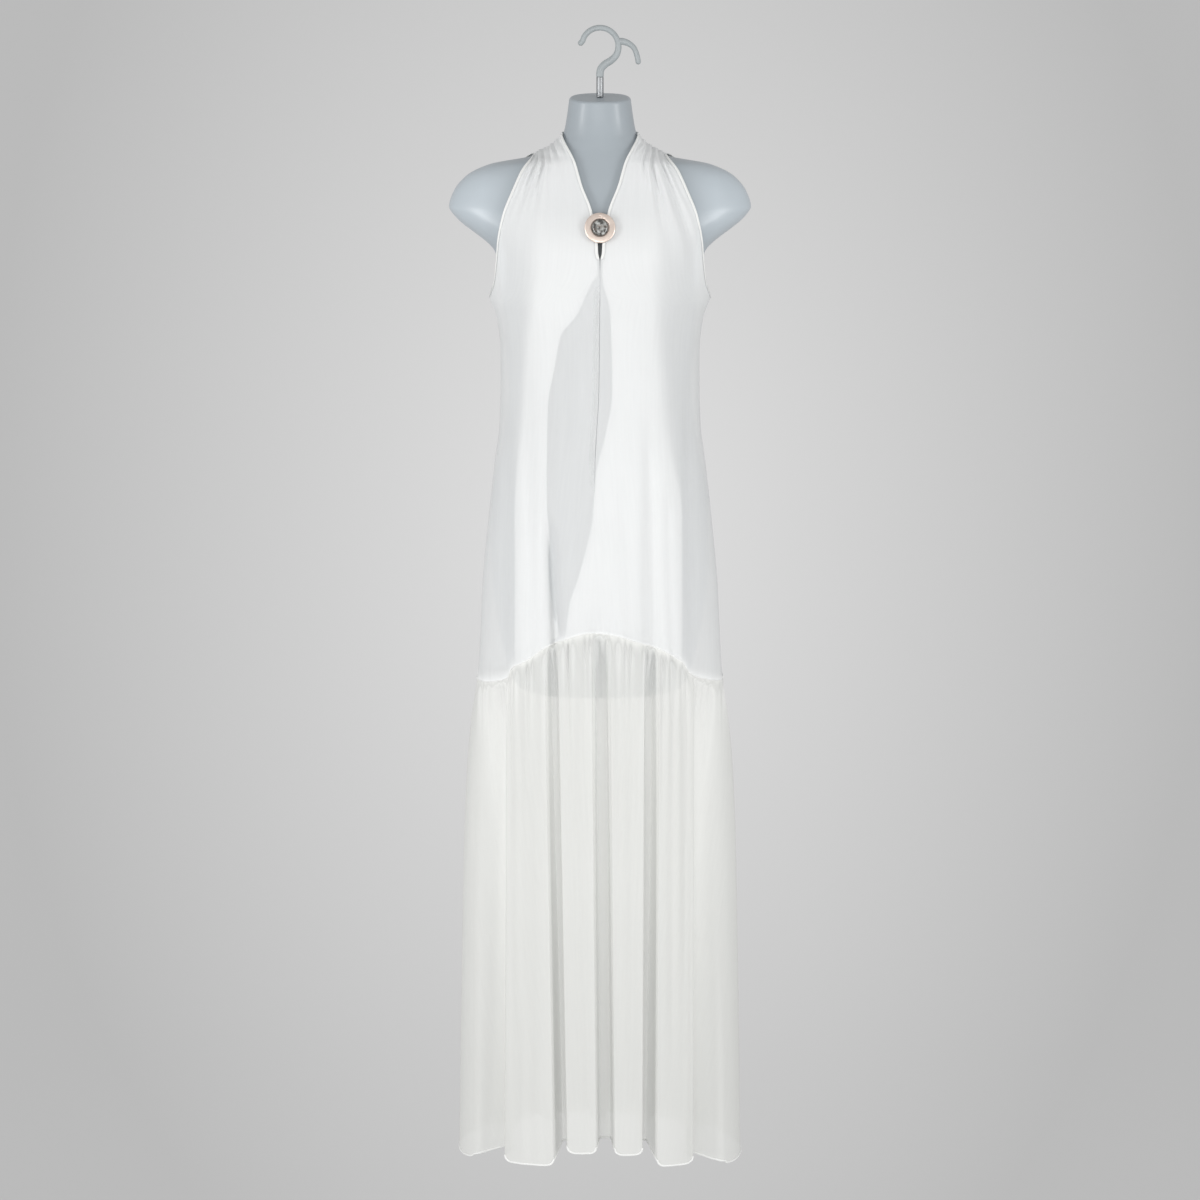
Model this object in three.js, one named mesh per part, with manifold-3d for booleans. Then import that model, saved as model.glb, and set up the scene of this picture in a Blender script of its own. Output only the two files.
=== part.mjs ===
// A sleeveless gathered maxi dress on a limbless plastic hanging form with its stem and double hook.
// Millimetres, +Z up, the wearer faces -Y. The origin is the underside of the hook's crown, where a rail carries it.
import * as THREE from "three";
import { mergeVertices } from "three/addons/utils/BufferGeometryUtils.js";
import Module from "manifold-3d";

// Driving sizes
const clothWall = 1.2; // thickness of the outer cloth
const liningWall = 1.0; // thickness of an inner panel
const liningSpace = 0.9; // air between the outer cloth and an inner panel
const liningHang = 3; // further air at its lower edge
const liningHangFrom = -600;
const liningGathered = 0.7; // further air behind the shoulder gathers
const liningGatheredTo = -330;
const seamGap = 0.3; // space left where two sewn pieces meet
const hemWall = 2.2; // thickness of the rolled hem
const bindingWidth = 4.2;
const bindingWall = 1.0;
const bindingSpace = 0.55; // air between a binding and the panel edge it lies on
const shoulderLift = 1.9; // height of the outer cloth over the form's shoulder line
const roundness = 2.3; // exponent of every level section: 2 is an ellipse, more is squarer
const neckHalf = 51; // half width of the neck opening at the shoulder line
const neckTop = -139; // height where the shoulder line meets the neck
const underarm = -367;
const hemHeight = -1585;
const gathersPerFold = 6;
const foldColumns = 7; // wall columns across each large fold below its gathers

// The form's level sections. w: half width, f: depth in front, b: depth behind
const formTable = [
  { z: -91, w: 42, f: 43, b: 43 },
  { z: -120, w: 46, f: 45, b: 45 },
  { z: -139.8, w: 50.2, f: 48, b: 48 },
  { z: -152, w: 58, f: 51, b: 53 },
  { z: -160, w: 68, f: 53, b: 56 },
  { z: -166, w: 80, f: 55, b: 59 },
  { z: -171.5, w: 93, f: 57, b: 62 },
  { z: -183, w: 153, f: 61, b: 67 },
  { z: -199, w: 185, f: 67, b: 73 },
  { z: -220, w: 202, f: 73, b: 79 },
  { z: -240.5, w: 208.4, f: 79, b: 84 },
  { z: -252, w: 201.6, f: 83, b: 86 },
  { z: -306, w: 143.8, f: 96, b: 93 },
  { z: -367, w: 135, f: 103, b: 93 },
  { z: -440, w: 130, f: 96, b: 86 },
  { z: -490, w: 127, f: 89, b: 82 },
  { z: -560, w: 134, f: 90, b: 88 },
  { z: -650, w: 150, f: 96, b: 101 },
  { z: -735, w: 151.7, f: 98, b: 108 },
  { z: -800, w: 146, f: 94, b: 103 },
  { z: -860, w: 134.6, f: 87, b: 93 },
  { z: -900, w: 123, f: 79, b: 84 },
  { z: -914, w: 112, f: 71, b: 76 },
  { z: -920.5, w: 92, f: 58, b: 62 },
];

// What the outer cloth stands off the form from the shoulders to the chest
const easeTable = [
  { z: -139, w: 1.6, f: 4.6, b: 4.6 },
  { z: -199, w: 1.6, f: 4.8, b: 5 },
  { z: -252, w: 2, f: 5, b: 6 },
  { z: -306, w: 20, f: 5.5, b: 7 },
  { z: -367, w: 18, f: 6, b: 8 },
  { z: -440, w: 10, f: 13, b: 14 },
];

// The outer cloth's level sections below the chest
const clothTable = [
  { z: -367, w: 153, f: 109, b: 101 },
  { z: -387, w: 144.5, f: 109.5, b: 101 },
  { z: -440, w: 138, f: 110, b: 101 },
  { z: -489, w: 138.2, f: 110.5, b: 102 },
  { z: -545, w: 140.1, f: 111, b: 104 },
  { z: -587, w: 145.5, f: 111, b: 106 },
  { z: -636, w: 151.5, f: 111.5, b: 109 },
  { z: -702, w: 158.5, f: 112, b: 113 },
  { z: -766, w: 164.4, f: 113, b: 115 },
  { z: -848, w: 168.4, f: 115, b: 115 },
  { z: -899, w: 172, f: 118, b: 116 },
  { z: -952, w: 179.9, f: 122, b: 118 },
  { z: -1023, w: 186.6, f: 126, b: 121 },
  { z: -1120, w: 191.3, f: 130, b: 124 },
  { z: -1265, w: 194.8, f: 134, b: 128 },
  { z: -1410, w: 197.7, f: 137, b: 131 },
  { z: -1590, w: 200.7, f: 140, b: 133 },
];

// Rows of the upper front. c: neckline, slit and centre; s: shoulder tip and armhole
const frontTable = [
  { v: 0, cx: 51, cz: -141.5, sx: 91.2, sz: -169.6 },
  { v: 0.02, cx: 50.4, cz: -143, sx: 92.2, sz: -170.6 },
  { v: 0.06, cx: 48.5, cz: -148, sx: 94.2, sz: -172.8 },
  { v: 0.14, cx: 43, cz: -158, sx: 98.6, sz: -177 },
  { v: 0.26, cx: 34, cz: -175.4, sx: 106, sz: -186 },
  { v: 0.42, cx: 23.8, cz: -208.6, sx: 120.5, sz: -216 },
  { v: 0.56, cx: 10.8, cz: -241.7, sx: 133.6, sz: -249.6 },
  { v: 0.72, cx: 3.2, cz: -283.2, sx: 140.5, sz: -287 },
  { v: 0.765, cx: 2.4, cz: -297.5, sx: 141.1, sz: -299 },
  { v: 0.8, cx: 0.5, cz: -307.8, sx: 141.6, sz: -308 },
  { v: 0.91, cx: 0, cz: -338, sx: 144.8, sz: -341.3 },
  { v: 1, cx: 0, cz: -367, sx: 153, sz: -367 },
];
const slitTip = 0.8;

// Armhole of the back, from the shoulder tip to the underarm
const backArmhole = [
  { v: 0, x: 91.2, z: -169.6 },
  { v: 0.14, x: 98.8, z: -177 },
  { v: 0.26, x: 108.5, z: -186 },
  { v: 0.42, x: 128, z: -216 },
  { v: 0.56, x: 139, z: -249.6 },
  { v: 0.72, x: 145, z: -287 },
  { v: 0.91, x: 147.5, z: -341.3 },
  { v: 1, x: 153, z: -367 },
];
const backNeckDrop = 13;

// The arched seam between bodice and skirt, across the front
const archTable = [
  { x: -172, z: -900 },
  { x: -150, z: -892 },
  { x: -123.4, z: -880.3 },
  { x: -103.7, z: -862.2 },
  { x: -75.8, z: -841 },
  { x: -55.1, z: -831.5 },
  { x: -15.1, z: -820 },
  { x: 19.3, z: -823 },
  { x: 51.6, z: -833 },
  { x: 78.6, z: -842 },
  { x: 116.2, z: -864 },
  { x: 132.4, z: -879 },
  { x: 150, z: -890 },
  { x: 172, z: -900 },
];
const backSeamDip = 6;

// The centre-front seam drifts to one side as it falls
const centreSeam = [
  { z: -338, x: 0 },
  { z: -483, x: -1.4 },
  { z: -589, x: -6.8 },
  { z: -700, x: -8.2 },
  { z: -830, x: -8.2 },
];

// Edges of the inner panels: z, then x of the left and right edge
const liningLeftTable = [
  { z: -205, left: -100, right: -31 },
  { z: -242, left: -108, right: -17 },
  { z: -284, left: -112, right: -8 },
  { z: -326, left: -112, right: -3 },
  { z: -338, left: -112, right: -11 },
  { z: -382.6, left: -112.5, right: -32.6 },
  { z: -409.8, left: -113.4, right: -53.8 },
  { z: -453.8, left: -115, right: -62.7 },
  { z: -510, left: -117, right: -72.4 },
  { z: -635.6, left: -120.5, right: -74 },
  { z: -705, left: -121, right: -72 },
  { z: -756, left: -121.5, right: -67.4 },
  { z: -860, left: -122, right: -56 },
];
const liningRightTable = [
  { z: -205, left: 31, right: 98 },
  { z: -242, left: 17, right: 104 },
  { z: -284, left: 8, right: 103 },
  { z: -326, left: 3, right: 98 },
  { z: -380, left: 14, right: 96 },
  { z: -486, left: 16.8, right: 106 },
  { z: -548, left: 6.8, right: 111 },
  { z: -600, left: -5.5, right: 114 },
  { z: -662, left: -10.3, right: 117 },
  { z: -697, left: -17.8, right: 117.5 },
  { z: -745.6, left: -30.9, right: 118.5 },
  { z: -780.6, left: -42.6, right: 118.6 },
  { z: -860, left: -52, right: 117.6 },
];

// Valleys between the skirt's large folds. top: x at the seam, hem: x at the hem, half: half width of the valley's
// floor, left and right: width of the wall on each side, deep: depth at the hem, rise: how far the valley runs up
// into the bodice, lift: how far its hem is raised
const frontValleys = [
  { top: -136, hem: -140, half: 2, left: 34, right: 5, deep: 34, rise: 30, lift: 26 },
  { top: -66, hem: -52, half: 7, left: 5, right: 5, deep: 54, rise: 260, lift: 32 },
  { top: 4, hem: 12, half: 10, left: 5, right: 5, deep: 50, rise: 60, lift: 38 },
  { top: 74, hem: 72, half: 8, left: 5, right: 5, deep: 54, rise: 320, lift: 33 },
  { top: 136, hem: 137, half: 2, left: 5, right: 34, deep: 34, rise: 40, lift: 18 },
];
const backValleys = [
  { top: -131, hem: -136, half: 3, left: 30, right: 6, deep: 34, rise: 60, lift: 18 },
  { top: -72, hem: -80, half: 7, left: 6, right: 6, deep: 48, rise: 190, lift: 22 },
  { top: -8, hem: -3, half: 9, left: 6, right: 6, deep: 52, rise: 120, lift: 24 },
  { top: 62, hem: 70, half: 7, left: 6, right: 6, deep: 46, rise: 220, lift: 20 },
  { top: 128, hem: 134, half: 3, left: 6, right: 30, deep: 34, rise: 80, lift: 16 },
];
// How far the front hem hangs at the middle of each fold above the side seams' hem
const frontHemLift = [10, 16, 30, 28, 15, 4];
const backHemLift = [8, 12, 18, 16, 12, 5];

const colours = {
  cloth: { color: 0xecedec, roughness: 0.75, metalness: 0 },
  skirt: { color: 0xe0e0dc, roughness: 0.75, metalness: 0 },
  lining: { color: 0xf6f6f4, roughness: 0.7, metalness: 0 },
  binding: { color: 0xf7f7f5, roughness: 0.45, metalness: 0 },
  form: { color: 0xa6adb2, roughness: 0.35, metalness: 0 },
  hook: { color: 0x9ba5a8, roughness: 0.4, metalness: 0 },
  stem: { color: 0xd0d0d0, roughness: 0.2, metalness: 1 },
  ring: { color: 0xf0d8c8, roughness: 0.2, metalness: 1 },
  stone: { color: 0x4a4a4a, roughness: 0.1, metalness: 0 },
};

// Numbers
const lerp = (a, b, t) => a + (b - a) * t;
const clamp = (t, lo = 0, hi = 1) => Math.min(hi, Math.max(lo, t));
const smooth = (t) => {
  const s = clamp(t);
  return s * s * (3 - 2 * s);
};
const steps = (count) => Array.from({ length: count + 1 }, (_, i) => i / count);
// A steady uneven value from -1 to 1 for the i-th repeat
const uneven = (i) => Math.sin(i * 12.9898 + 4.1) * Math.cos(i * 3.71 + 0.7);

// Value of one column of a table at a key, on a curve that never overshoots its rows
function look(table, key, column, at) {
  const sign = table[1][key] > table[0][key] ? 1 : -1;
  const last = table.length - 1;
  if (sign * (at - table[0][key]) <= 0) return table[0][column];
  if (sign * (table[last][key] - at) <= 0) return table[last][column];
  let i = 0;
  while (sign * (at - table[i + 1][key]) > 0) i += 1;
  const slope = (k) => (table[k + 1][column] - table[k][column]) / (table[k + 1][key] - table[k][key]);
  const tangent = (k) => {
    if (k === 0) return slope(0);
    if (k === last) return slope(last - 1);
    const before = slope(k - 1);
    const after = slope(k);
    return before * after <= 0 ? 0 : (2 * before * after) / (before + after);
  };
  const span = table[i + 1][key] - table[i][key];
  const t = (at - table[i][key]) / span;
  const t2 = t * t;
  const t3 = t2 * t;
  return (
    (2 * t3 - 3 * t2 + 1) * table[i][column] +
    (t3 - 2 * t2 + t) * span * tangent(i) +
    (3 * t2 - 2 * t3) * table[i + 1][column] +
    (t3 - t2) * span * tangent(i + 1)
  );
}

const sectionOf = (table, z) => ({
  w: look(table, "z", "w", z),
  f: look(table, "z", "f", z),
  b: look(table, "z", "b", z),
});

// Level section of the outer cloth: eased off the form above, its own table below
function clothSection(z) {
  const form = sectionOf(formTable, z - shoulderLift);
  const ease = sectionOf(easeTable, z);
  const own = sectionOf(clothTable, z);
  const t = smooth((underarm + 30 - z) / 60);
  return {
    w: lerp(form.w + ease.w, own.w, t),
    f: lerp(form.f + ease.f, own.f, t),
    b: lerp(form.b + ease.b, own.b, t),
  };
}

// Share of the full depth left at x in a section of half width w
const bulge = (x, w) => Math.pow(Math.max(0, 1 - Math.pow(Math.abs(x) / w, roundness)), 1 / roundness);

// Height of the cloth's shoulder line over x
function shoulderLine(x) {
  if (x <= neckHalf) return neckTop;
  let high = neckTop;
  let low = -235;
  for (let i = 0; i < 40; i += 1) {
    const mid = (high + low) / 2;
    if (clothSection(mid).w < x) high = mid;
    else low = mid;
  }
  return low;
}

const arch = (x) => look(archTable, "x", "z", x);
const backSeam = (x) => arch(172) - backSeamDip * (1 - (x / 172) ** 2);

// A cloth point at x and z, pushed out along the level normal. side: -1 front, 1 back
function clothPoint(x, z, side, out = 0) {
  const s = clothSection(z);
  const depth = side < 0 ? s.f : s.b;
  const across = clamp(Math.abs(x) / s.w);
  const y = side * Math.max(seamGap / 2, depth * bulge(x, s.w));
  const nx = Math.sign(x) * Math.pow(across, roundness - 1) / s.w;
  const ny = (side * Math.pow(Math.abs(y) / depth, roundness - 1)) / depth;
  const n = Math.hypot(nx, ny) || 1;
  return new THREE.Vector3(x + (out * nx) / n, y + (out * ny) / n, z);
}

// Closed wall over a patch. rows: lists of { p, hold }, each row at its own column count.
// p is the outer point; hold names an axis the wall's thickness may not lean along.
function wall(rows, thickness) {
  const points = rows.flat();
  const first = [];
  let total = 0;
  for (const row of rows) {
    first.push(total);
    total += row.length;
  }
  const faces = [];
  const place = (r, i) => i / (rows[r].length - 1);
  for (let r = 0; r + 1 < rows.length; r += 1) {
    let i = 0;
    let j = 0;
    while (i + 1 < rows[r].length || j + 1 < rows[r + 1].length) {
      const a = first[r] + i;
      const b = first[r + 1] + j;
      const stepTop = j + 1 >= rows[r + 1].length || (i + 1 < rows[r].length && place(r, i + 1) <= place(r + 1, j + 1));
      faces.push(stepTop ? [a, b, a + 1] : [a, b, b + 1]);
      if (stepTop) i += 1;
      else j += 1;
    }
  }
  const normals = points.map(() => new THREE.Vector3());
  const ab = new THREE.Vector3();
  const ac = new THREE.Vector3();
  for (const [a, b, c] of faces) {
    ab.subVectors(points[b].p, points[a].p);
    ac.subVectors(points[c].p, points[a].p);
    ab.cross(ac);
    for (const k of [a, b, c]) normals[k].add(ab);
  }
  const facing = points.reduce((sum, { p }, k) => sum + p.x * normals[k].x + p.y * normals[k].y, 0);
  const inner = points.map(({ p, hold, wallHere }, k) => {
    const n = normals[k].multiplyScalar(Math.sign(facing));
    for (const axis of hold || "") n[axis] = 0;
    return p.clone().addScaledVector(n.normalize(), -(wallHere || thickness));
  });
  const rim = [];
  const lastRow = rows.length - 1;
  for (let i = 0; i + 1 < rows[0].length; i += 1) rim.push([first[0] + i, first[0] + i + 1]);
  for (let r = 0; r < lastRow; r += 1) {
    rim.push([first[r] + rows[r].length - 1, first[r + 1] + rows[r + 1].length - 1]);
    rim.push([first[r + 1], first[r]]);
  }
  for (let i = 0; i + 1 < rows[lastRow].length; i += 1) rim.push([first[lastRow] + i + 1, first[lastRow] + i]);
  const all = points.map(({ p }) => p).concat(inner);
  const solid = [];
  for (const [a, b, c] of faces) solid.push([a, b, c], [a + total, c + total, b + total]);
  for (const [a, b] of rim) solid.push([a, b, b + total], [a, b + total, a + total]);
  return geometryOf(all, solid);
}

// An indexed geometry whose faces point outwards
function geometryOf(points, faces) {
  let volume = 0;
  for (const [a, b, c] of faces) volume += points[a].dot(new THREE.Vector3().crossVectors(points[b], points[c]));
  const index = faces.flatMap(([a, b, c]) => (volume > 0 ? [a, b, c] : [a, c, b]));
  const g = new THREE.BufferGeometry();
  g.setAttribute("position", new THREE.Float32BufferAttribute(points.flatMap((p) => [p.x, p.y, p.z]), 3));
  g.setIndex(index);
  g.computeVertexNormals();
  return g;
}

const dress = new THREE.Group();
function addMesh(name, geometry, finish) {
  const mesh = new THREE.Mesh(geometry, new THREE.MeshStandardMaterial(colours[finish]));
  mesh.name = name;
  dress.add(mesh);
  return mesh;
}

// Depth of a valley's soft start on the bodice, at x and z
function bodiceValley(valleys, seamZ, x, z) {
  const width = 15;
  return valleys.reduce((sum, row) => {
    const t = smooth(1 - (z - seamZ) / row.rise);
    return sum + seamDepth(row) * t * Math.exp(-(((x - row.top) / width) ** 2));
  }, 0);
}
const seamDepth = (row) => 0.13 * row.deep;

// Share of a valley's depth at x: 1 on its floor, 0 past its walls
function valleyShare(row, x, fall) {
  const from = x - lerp(row.top, row.hem, fall);
  return 1 - smooth((Math.abs(from) - row.half) / (from < 0 ? row.left : row.right));
}

// Places across one fold, from the valley floor before it to the valley floor after it
function foldPlaces(before, after, start, end) {
  const left = before ? [start, start + before.half, start + before.half + before.right] : [];
  const right = after ? [end - after.half - after.left, end - after.half, end] : [];
  if (before && after) {
    const a = left[2];
    const b = right[0];
    return [...left, lerp(a, b, 1 / 3), lerp(a, b, 2 / 3), ...right];
  }
  const turn = [1, 2, 3, 4, 5].map((i) => Math.cos((i / 5) * (Math.PI / 2)));
  if (after) return [start, ...turn.map((c) => lerp(right[0], start, c)), ...right.slice(1)];
  return [...left.slice(0, 2), ...turn.map((c) => lerp(left[2], end, c)).reverse(), end];
}

// Columns of the skirt at a share of its fall: x, inward depth, hem lift and number of each column
function skirtColumns(valleys, hemLifts, perFold, z, fall) {
  const w = clothSection(z).w;
  const ends = [-w, ...valleys.map((row) => lerp(row.top, row.hem, fall)), w];
  const columns = [];
  for (let k = 0; k + 1 < ends.length; k += 1) {
    const places =
      perFold > foldColumns
        ? steps(perFold).map((t) => lerp(ends[k], ends[k + 1], t))
        : foldPlaces(valleys[k - 1], valleys[k], ends[k], ends[k + 1]);
    places.slice(k ? 1 : 0).forEach((x, i) => {
      const shares = valleys.map((row) => valleyShare(row, x, fall));
      const deep = valleys.reduce((sum, row, n) => Math.max(sum, shares[n] * foldDepth(row, fall)), 0);
      const near = Math.max(...shares);
      const lift = lerp(hemLifts[k], valleys[shares.indexOf(near)].lift, near);
      columns.push({ x, deep, lift, column: k * perFold + i + (k ? 1 : 0) });
    });
  }
  return columns;
}
const foldDepth = (row, fall) => lerp(seamDepth(row), row.deep, clamp(0.2 * smooth(fall / 0.08) + 0.8 * fall));

// One skirt piece, gathered into the seam above it. side: -1 front, 1 back
function skirt(side, valleys, hemLifts, seam) {
  const gatherColumns = 2 * gathersPerFold;
  const gatherFalls = [0, 0.012, 0.036, 0.1];
  const foldFalls = [0.17, 0.27, 0.38, 0.5, 0.62, 0.74, 0.86, 0.994, 1];
  const gatherDeep = 3.2;
  const row = (fall, perFold) => {
    const gather = fall <= 0.1 ? gatherDeep * lerp(0.55, 1, smooth(fall / 0.02)) * Math.exp(-fall / 0.07) : 0;
    return skirtColumns(valleys, hemLifts, perFold, lerp(-860, hemHeight, fall), fall).map((c) => {
      const top = seam(c.x) - seamGap;
      const z = lerp(top, hemHeight + c.lift, fall);
      const w = clothSection(z).w;
      const edge = c.column === 0 || c.column === (valleys.length + 1) * perFold;
      const x = edge ? Math.sign(c.x) * w : clamp(c.x, -0.995 * w, 0.995 * w);
      const ripple = edge ? 0 : gather * (c.column % 2) * (0.75 + 0.35 * uneven(c.column));
      const hold = (edge ? "y" : "") + (fall === 0 || fall === 1 ? "z" : "");
      return { p: clothPoint(x, z, side, -c.deep - ripple), hold, wallHere: fall > 0.99 ? hemWall : clothWall };
    });
  };
  const rows = gatherFalls.map((fall) => row(fall, gatherColumns));
  rows.push(...foldFalls.map((fall) => row(fall, foldColumns)));
  return { geometry: wall(rows, clothWall), top: rows[0] };
}

// Upper front at place u (0 centre, 1 armhole) and row v (0 shoulder, 1 underarm). hand: -1 left of the view, 1 right
function upperFront(u, v, hand, out = 0) {
  const cx = look(frontTable, "v", "cx", v);
  const cz = look(frontTable, "v", "cz", v);
  const sx = look(frontTable, "v", "sx", v);
  const sz = look(frontTable, "v", "sz", v);
  const g = Math.sin((u * Math.PI) / 2);
  const x = lerp(cx, sx, lerp(u, g, smooth(v)));
  const share = (x - cx) / (sx - cx);
  const drop = lerp(shoulderLine(cx) - cz, shoulderLine(sx) - sz, share);
  const z = shoulderLine(x) - (v === 0 ? 0 : Math.max(drop, 0.1));
  const gathers = 8;
  const gatherDeep = 2.4;
  const fade = smooth(v / 0.05) * (1 - smooth((v - 0.12) / 0.62)) * Math.sin(Math.PI * clamp(u, 0.02, 0.98)) ** 0.5;
  const wave = 0.5 - 0.5 * Math.cos(2 * Math.PI * gathers * u + 0.5 * Math.sin(5 * v));
  const p = clothPoint(Math.max(x, seamGap / 2), z, -1, out + gatherDeep * fade * wave);
  p.x *= hand;
  return p;
}

// Lower front point between the centre seam and the side seam. t: 0 underarm, 1 arched seam
function lowerFront(u, t, hand, out = 0) {
  const find = (zGuess) => {
    const centre = look(centreSeam, "z", "x", zGuess) + (hand * seamGap) / 2;
    const side = hand * clothSection(zGuess).w;
    return lerp(centre, side, Math.sin((u * Math.PI) / 2));
  };
  let z = lerp(underarm, -860, t);
  for (let i = 0; i < 6; i += 1) z = lerp(underarm, arch(find(z)), t);
  const x = find(z);
  const deep = bodiceValley(frontValleys, arch(x), x, z);
  return clothPoint(x, z, -1, out - deep);
}

function front(hand, seamRow) {
  const upperRows = [0, 0.02, 0.06, 0.14, 0.26, 0.42, 0.56, 0.72, 0.8, 0.91];
  const gatherColumns = 24;
  const plainColumns = 12;
  const valleyColumns = 18;
  const rows = upperRows.map((v) => {
    const count = v < 0.75 ? gatherColumns : plainColumns;
    return steps(count).map((u) => {
      const centre = u === 0 && v >= slitTip ? "x" : "";
      return { p: upperFront(u, v, hand), hold: centre + (v === 0 ? "y" : "") };
    });
  });
  for (const t of [0, 0.05, 0.14, 0.25, 0.37, 0.5, 0.62, 0.74, 0.84, 0.93]) {
    rows.push(
      steps(t < 0.45 ? plainColumns : valleyColumns).map((u) => ({
        p: lowerFront(u, t, hand),
        hold: (u === 0 ? "x" : "") + (u === 1 ? "y" : ""),
      })),
    );
  }
  rows.push(lastRow(seamRow, hand));
  return wall(rows, clothWall);
}

// The bodice's lower edge copies the skirt's top edge, one seam gap higher
function lastRow(seamRow, hand) {
  const split = look(centreSeam, "z", "x", -820);
  const beyond = (p) => hand * (p.x - split);
  const kept = seamRow.filter(({ p }) => beyond(p) > 3);
  if (hand < 0) kept.reverse();
  const start = split + (hand * seamGap) / 2;
  const next = seamRow.findIndex(({ p }) => p.x > start);
  const a = seamRow[next - 1].p;
  const b = seamRow[next].p;
  const edge = a.clone().lerp(b, (start - a.x) / (b.x - a.x));
  const list = [{ p: edge, hold: "xz" }, ...kept];
  return list.map(({ p, hold }) => {
    const q = p.clone();
    q.z += seamGap;
    return { p: q, hold };
  });
}

// Back bodice, cut in one: its top edge is both shoulder seams and the shallow neck scoop between them
function backPoint(u, v, out = 0) {
  const size = Math.abs(u);
  const neckShare = 0.5;
  const topX =
    size < neckShare
      ? neckHalf * Math.sin((size / neckShare) * (Math.PI / 2))
      : lerp(neckHalf, 91.2, (size - neckShare) / (1 - neckShare));
  const topZ = shoulderLine(topX) - (size < neckShare ? backNeckDrop * Math.cos((size / neckShare) * (Math.PI / 2)) ** 2 : 0);
  const sx = look(backArmhole, "v", "x", v);
  const sz = look(backArmhole, "v", "z", v);
  const x = sx * lerp(topX / 91.2, Math.sin((size * Math.PI) / 2), smooth(v / 0.6));
  const t = clamp(v / 0.42) ** 0.8;
  const line = shoulderLine(x) - (shoulderLine(topX) - topZ);
  const z = lerp(line, Math.min(sz, line - 0.05), v === 0 ? 0 : t);
  return clothPoint(Math.sign(u) * x, z, 1, out);
}

function back(seamRow) {
  const columns = 24;
  const across = steps(columns).map((s) => 2 * s - 1);
  const rows = [0, 0.012, 0.04, 0.1, 0.2, 0.32, 0.45, 0.6, 0.75, 0.9].map((v) =>
    across.map((u) => ({ p: backPoint(u, v), hold: v === 0 && Math.abs(u) >= 0.5 ? "y" : "" })),
  );
  for (const t of [0, 0.06, 0.18, 0.32, 0.46, 0.6, 0.74, 0.86, 0.95]) {
    rows.push(
      across.map((u) => {
        const z = lerp(underarm, -900, t);
        const x = clothSection(z).w * Math.sin((u * Math.PI) / 2);
        const deep = bodiceValley(backValleys, backSeam(x), x, z);
        return { p: clothPoint(x, z, 1, -deep), hold: Math.abs(u) === 1 ? "y" : "" };
      }),
    );
  }
  rows.push(
    seamRow.map(({ p, hold }) => {
      const q = p.clone();
      q.z += seamGap;
      return { p: q, hold };
    }),
  );
  return wall(rows, clothWall);
}

// An inner front panel hung behind the outer cloth, between the edges its table gives
function lining(table) {
  const columns = 7;
  const falls = [0, 0.025, 0.05, 0.08, 0.12, 0.16, 0.2, 0.25, 0.31, 0.37, 0.43, 0.49, 0.55, 0.62, 0.7, 0.78, 0.86, 0.93, 1];
  const top = table[0].z;
  const bottomClear = 5;
  const inward = clothWall + liningSpace;
  const grid = falls.map((t) =>
    steps(columns).map((s) => {
      let z = lerp(top, -840, t);
      let x = 0;
      for (let i = 0; i < 6; i += 1) {
        x = lerp(look(table, "z", "left", z), look(table, "z", "right", z), s);
        z = lerp(top, arch(x) + bottomClear, t);
      }
      const deep = bodiceValley(frontValleys, arch(x), x, z);
      const hang = liningHang * smooth((liningHangFrom - z) / 200);
      const gathered = liningGathered * smooth((z - liningGatheredTo) / 40);
      return { p: clothPoint(x, z, -1, -deep - inward - hang - gathered) };
    }),
  );
  return wall(grid, liningWall);
}

// A narrow strip laid on a panel's edge. point(along, across) gives the panel's own points there
function strip(point, alongList, hold) {
  const lay = bindingSpace + bindingWall;
  const rows = alongList.map((a) => {
    const edge = point(a, 0);
    const inside = point(a, 0.25);
    const reach = (0.25 * bindingWidth) / Math.max(edge.distanceTo(inside), 1e-6);
    return [0, 0.5, 1].map((s) => {
      const p = point(a, s * reach);
      const alongside = point(clamp(a + 0.004), s * reach).sub(point(clamp(a - 0.004), s * reach));
      const normal = new THREE.Vector3().crossVectors(alongside, inside.clone().sub(edge)).normalize();
      if (hold(a)) normal[hold(a)] = 0;
      if (normal.dot(new THREE.Vector3(p.x, p.y * 3, 60)) < 0) normal.negate();
      return { p: p.addScaledVector(normal.normalize(), lay), hold: hold(a) };
    });
  });
  return wall(rows, bindingWall);
}

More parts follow.
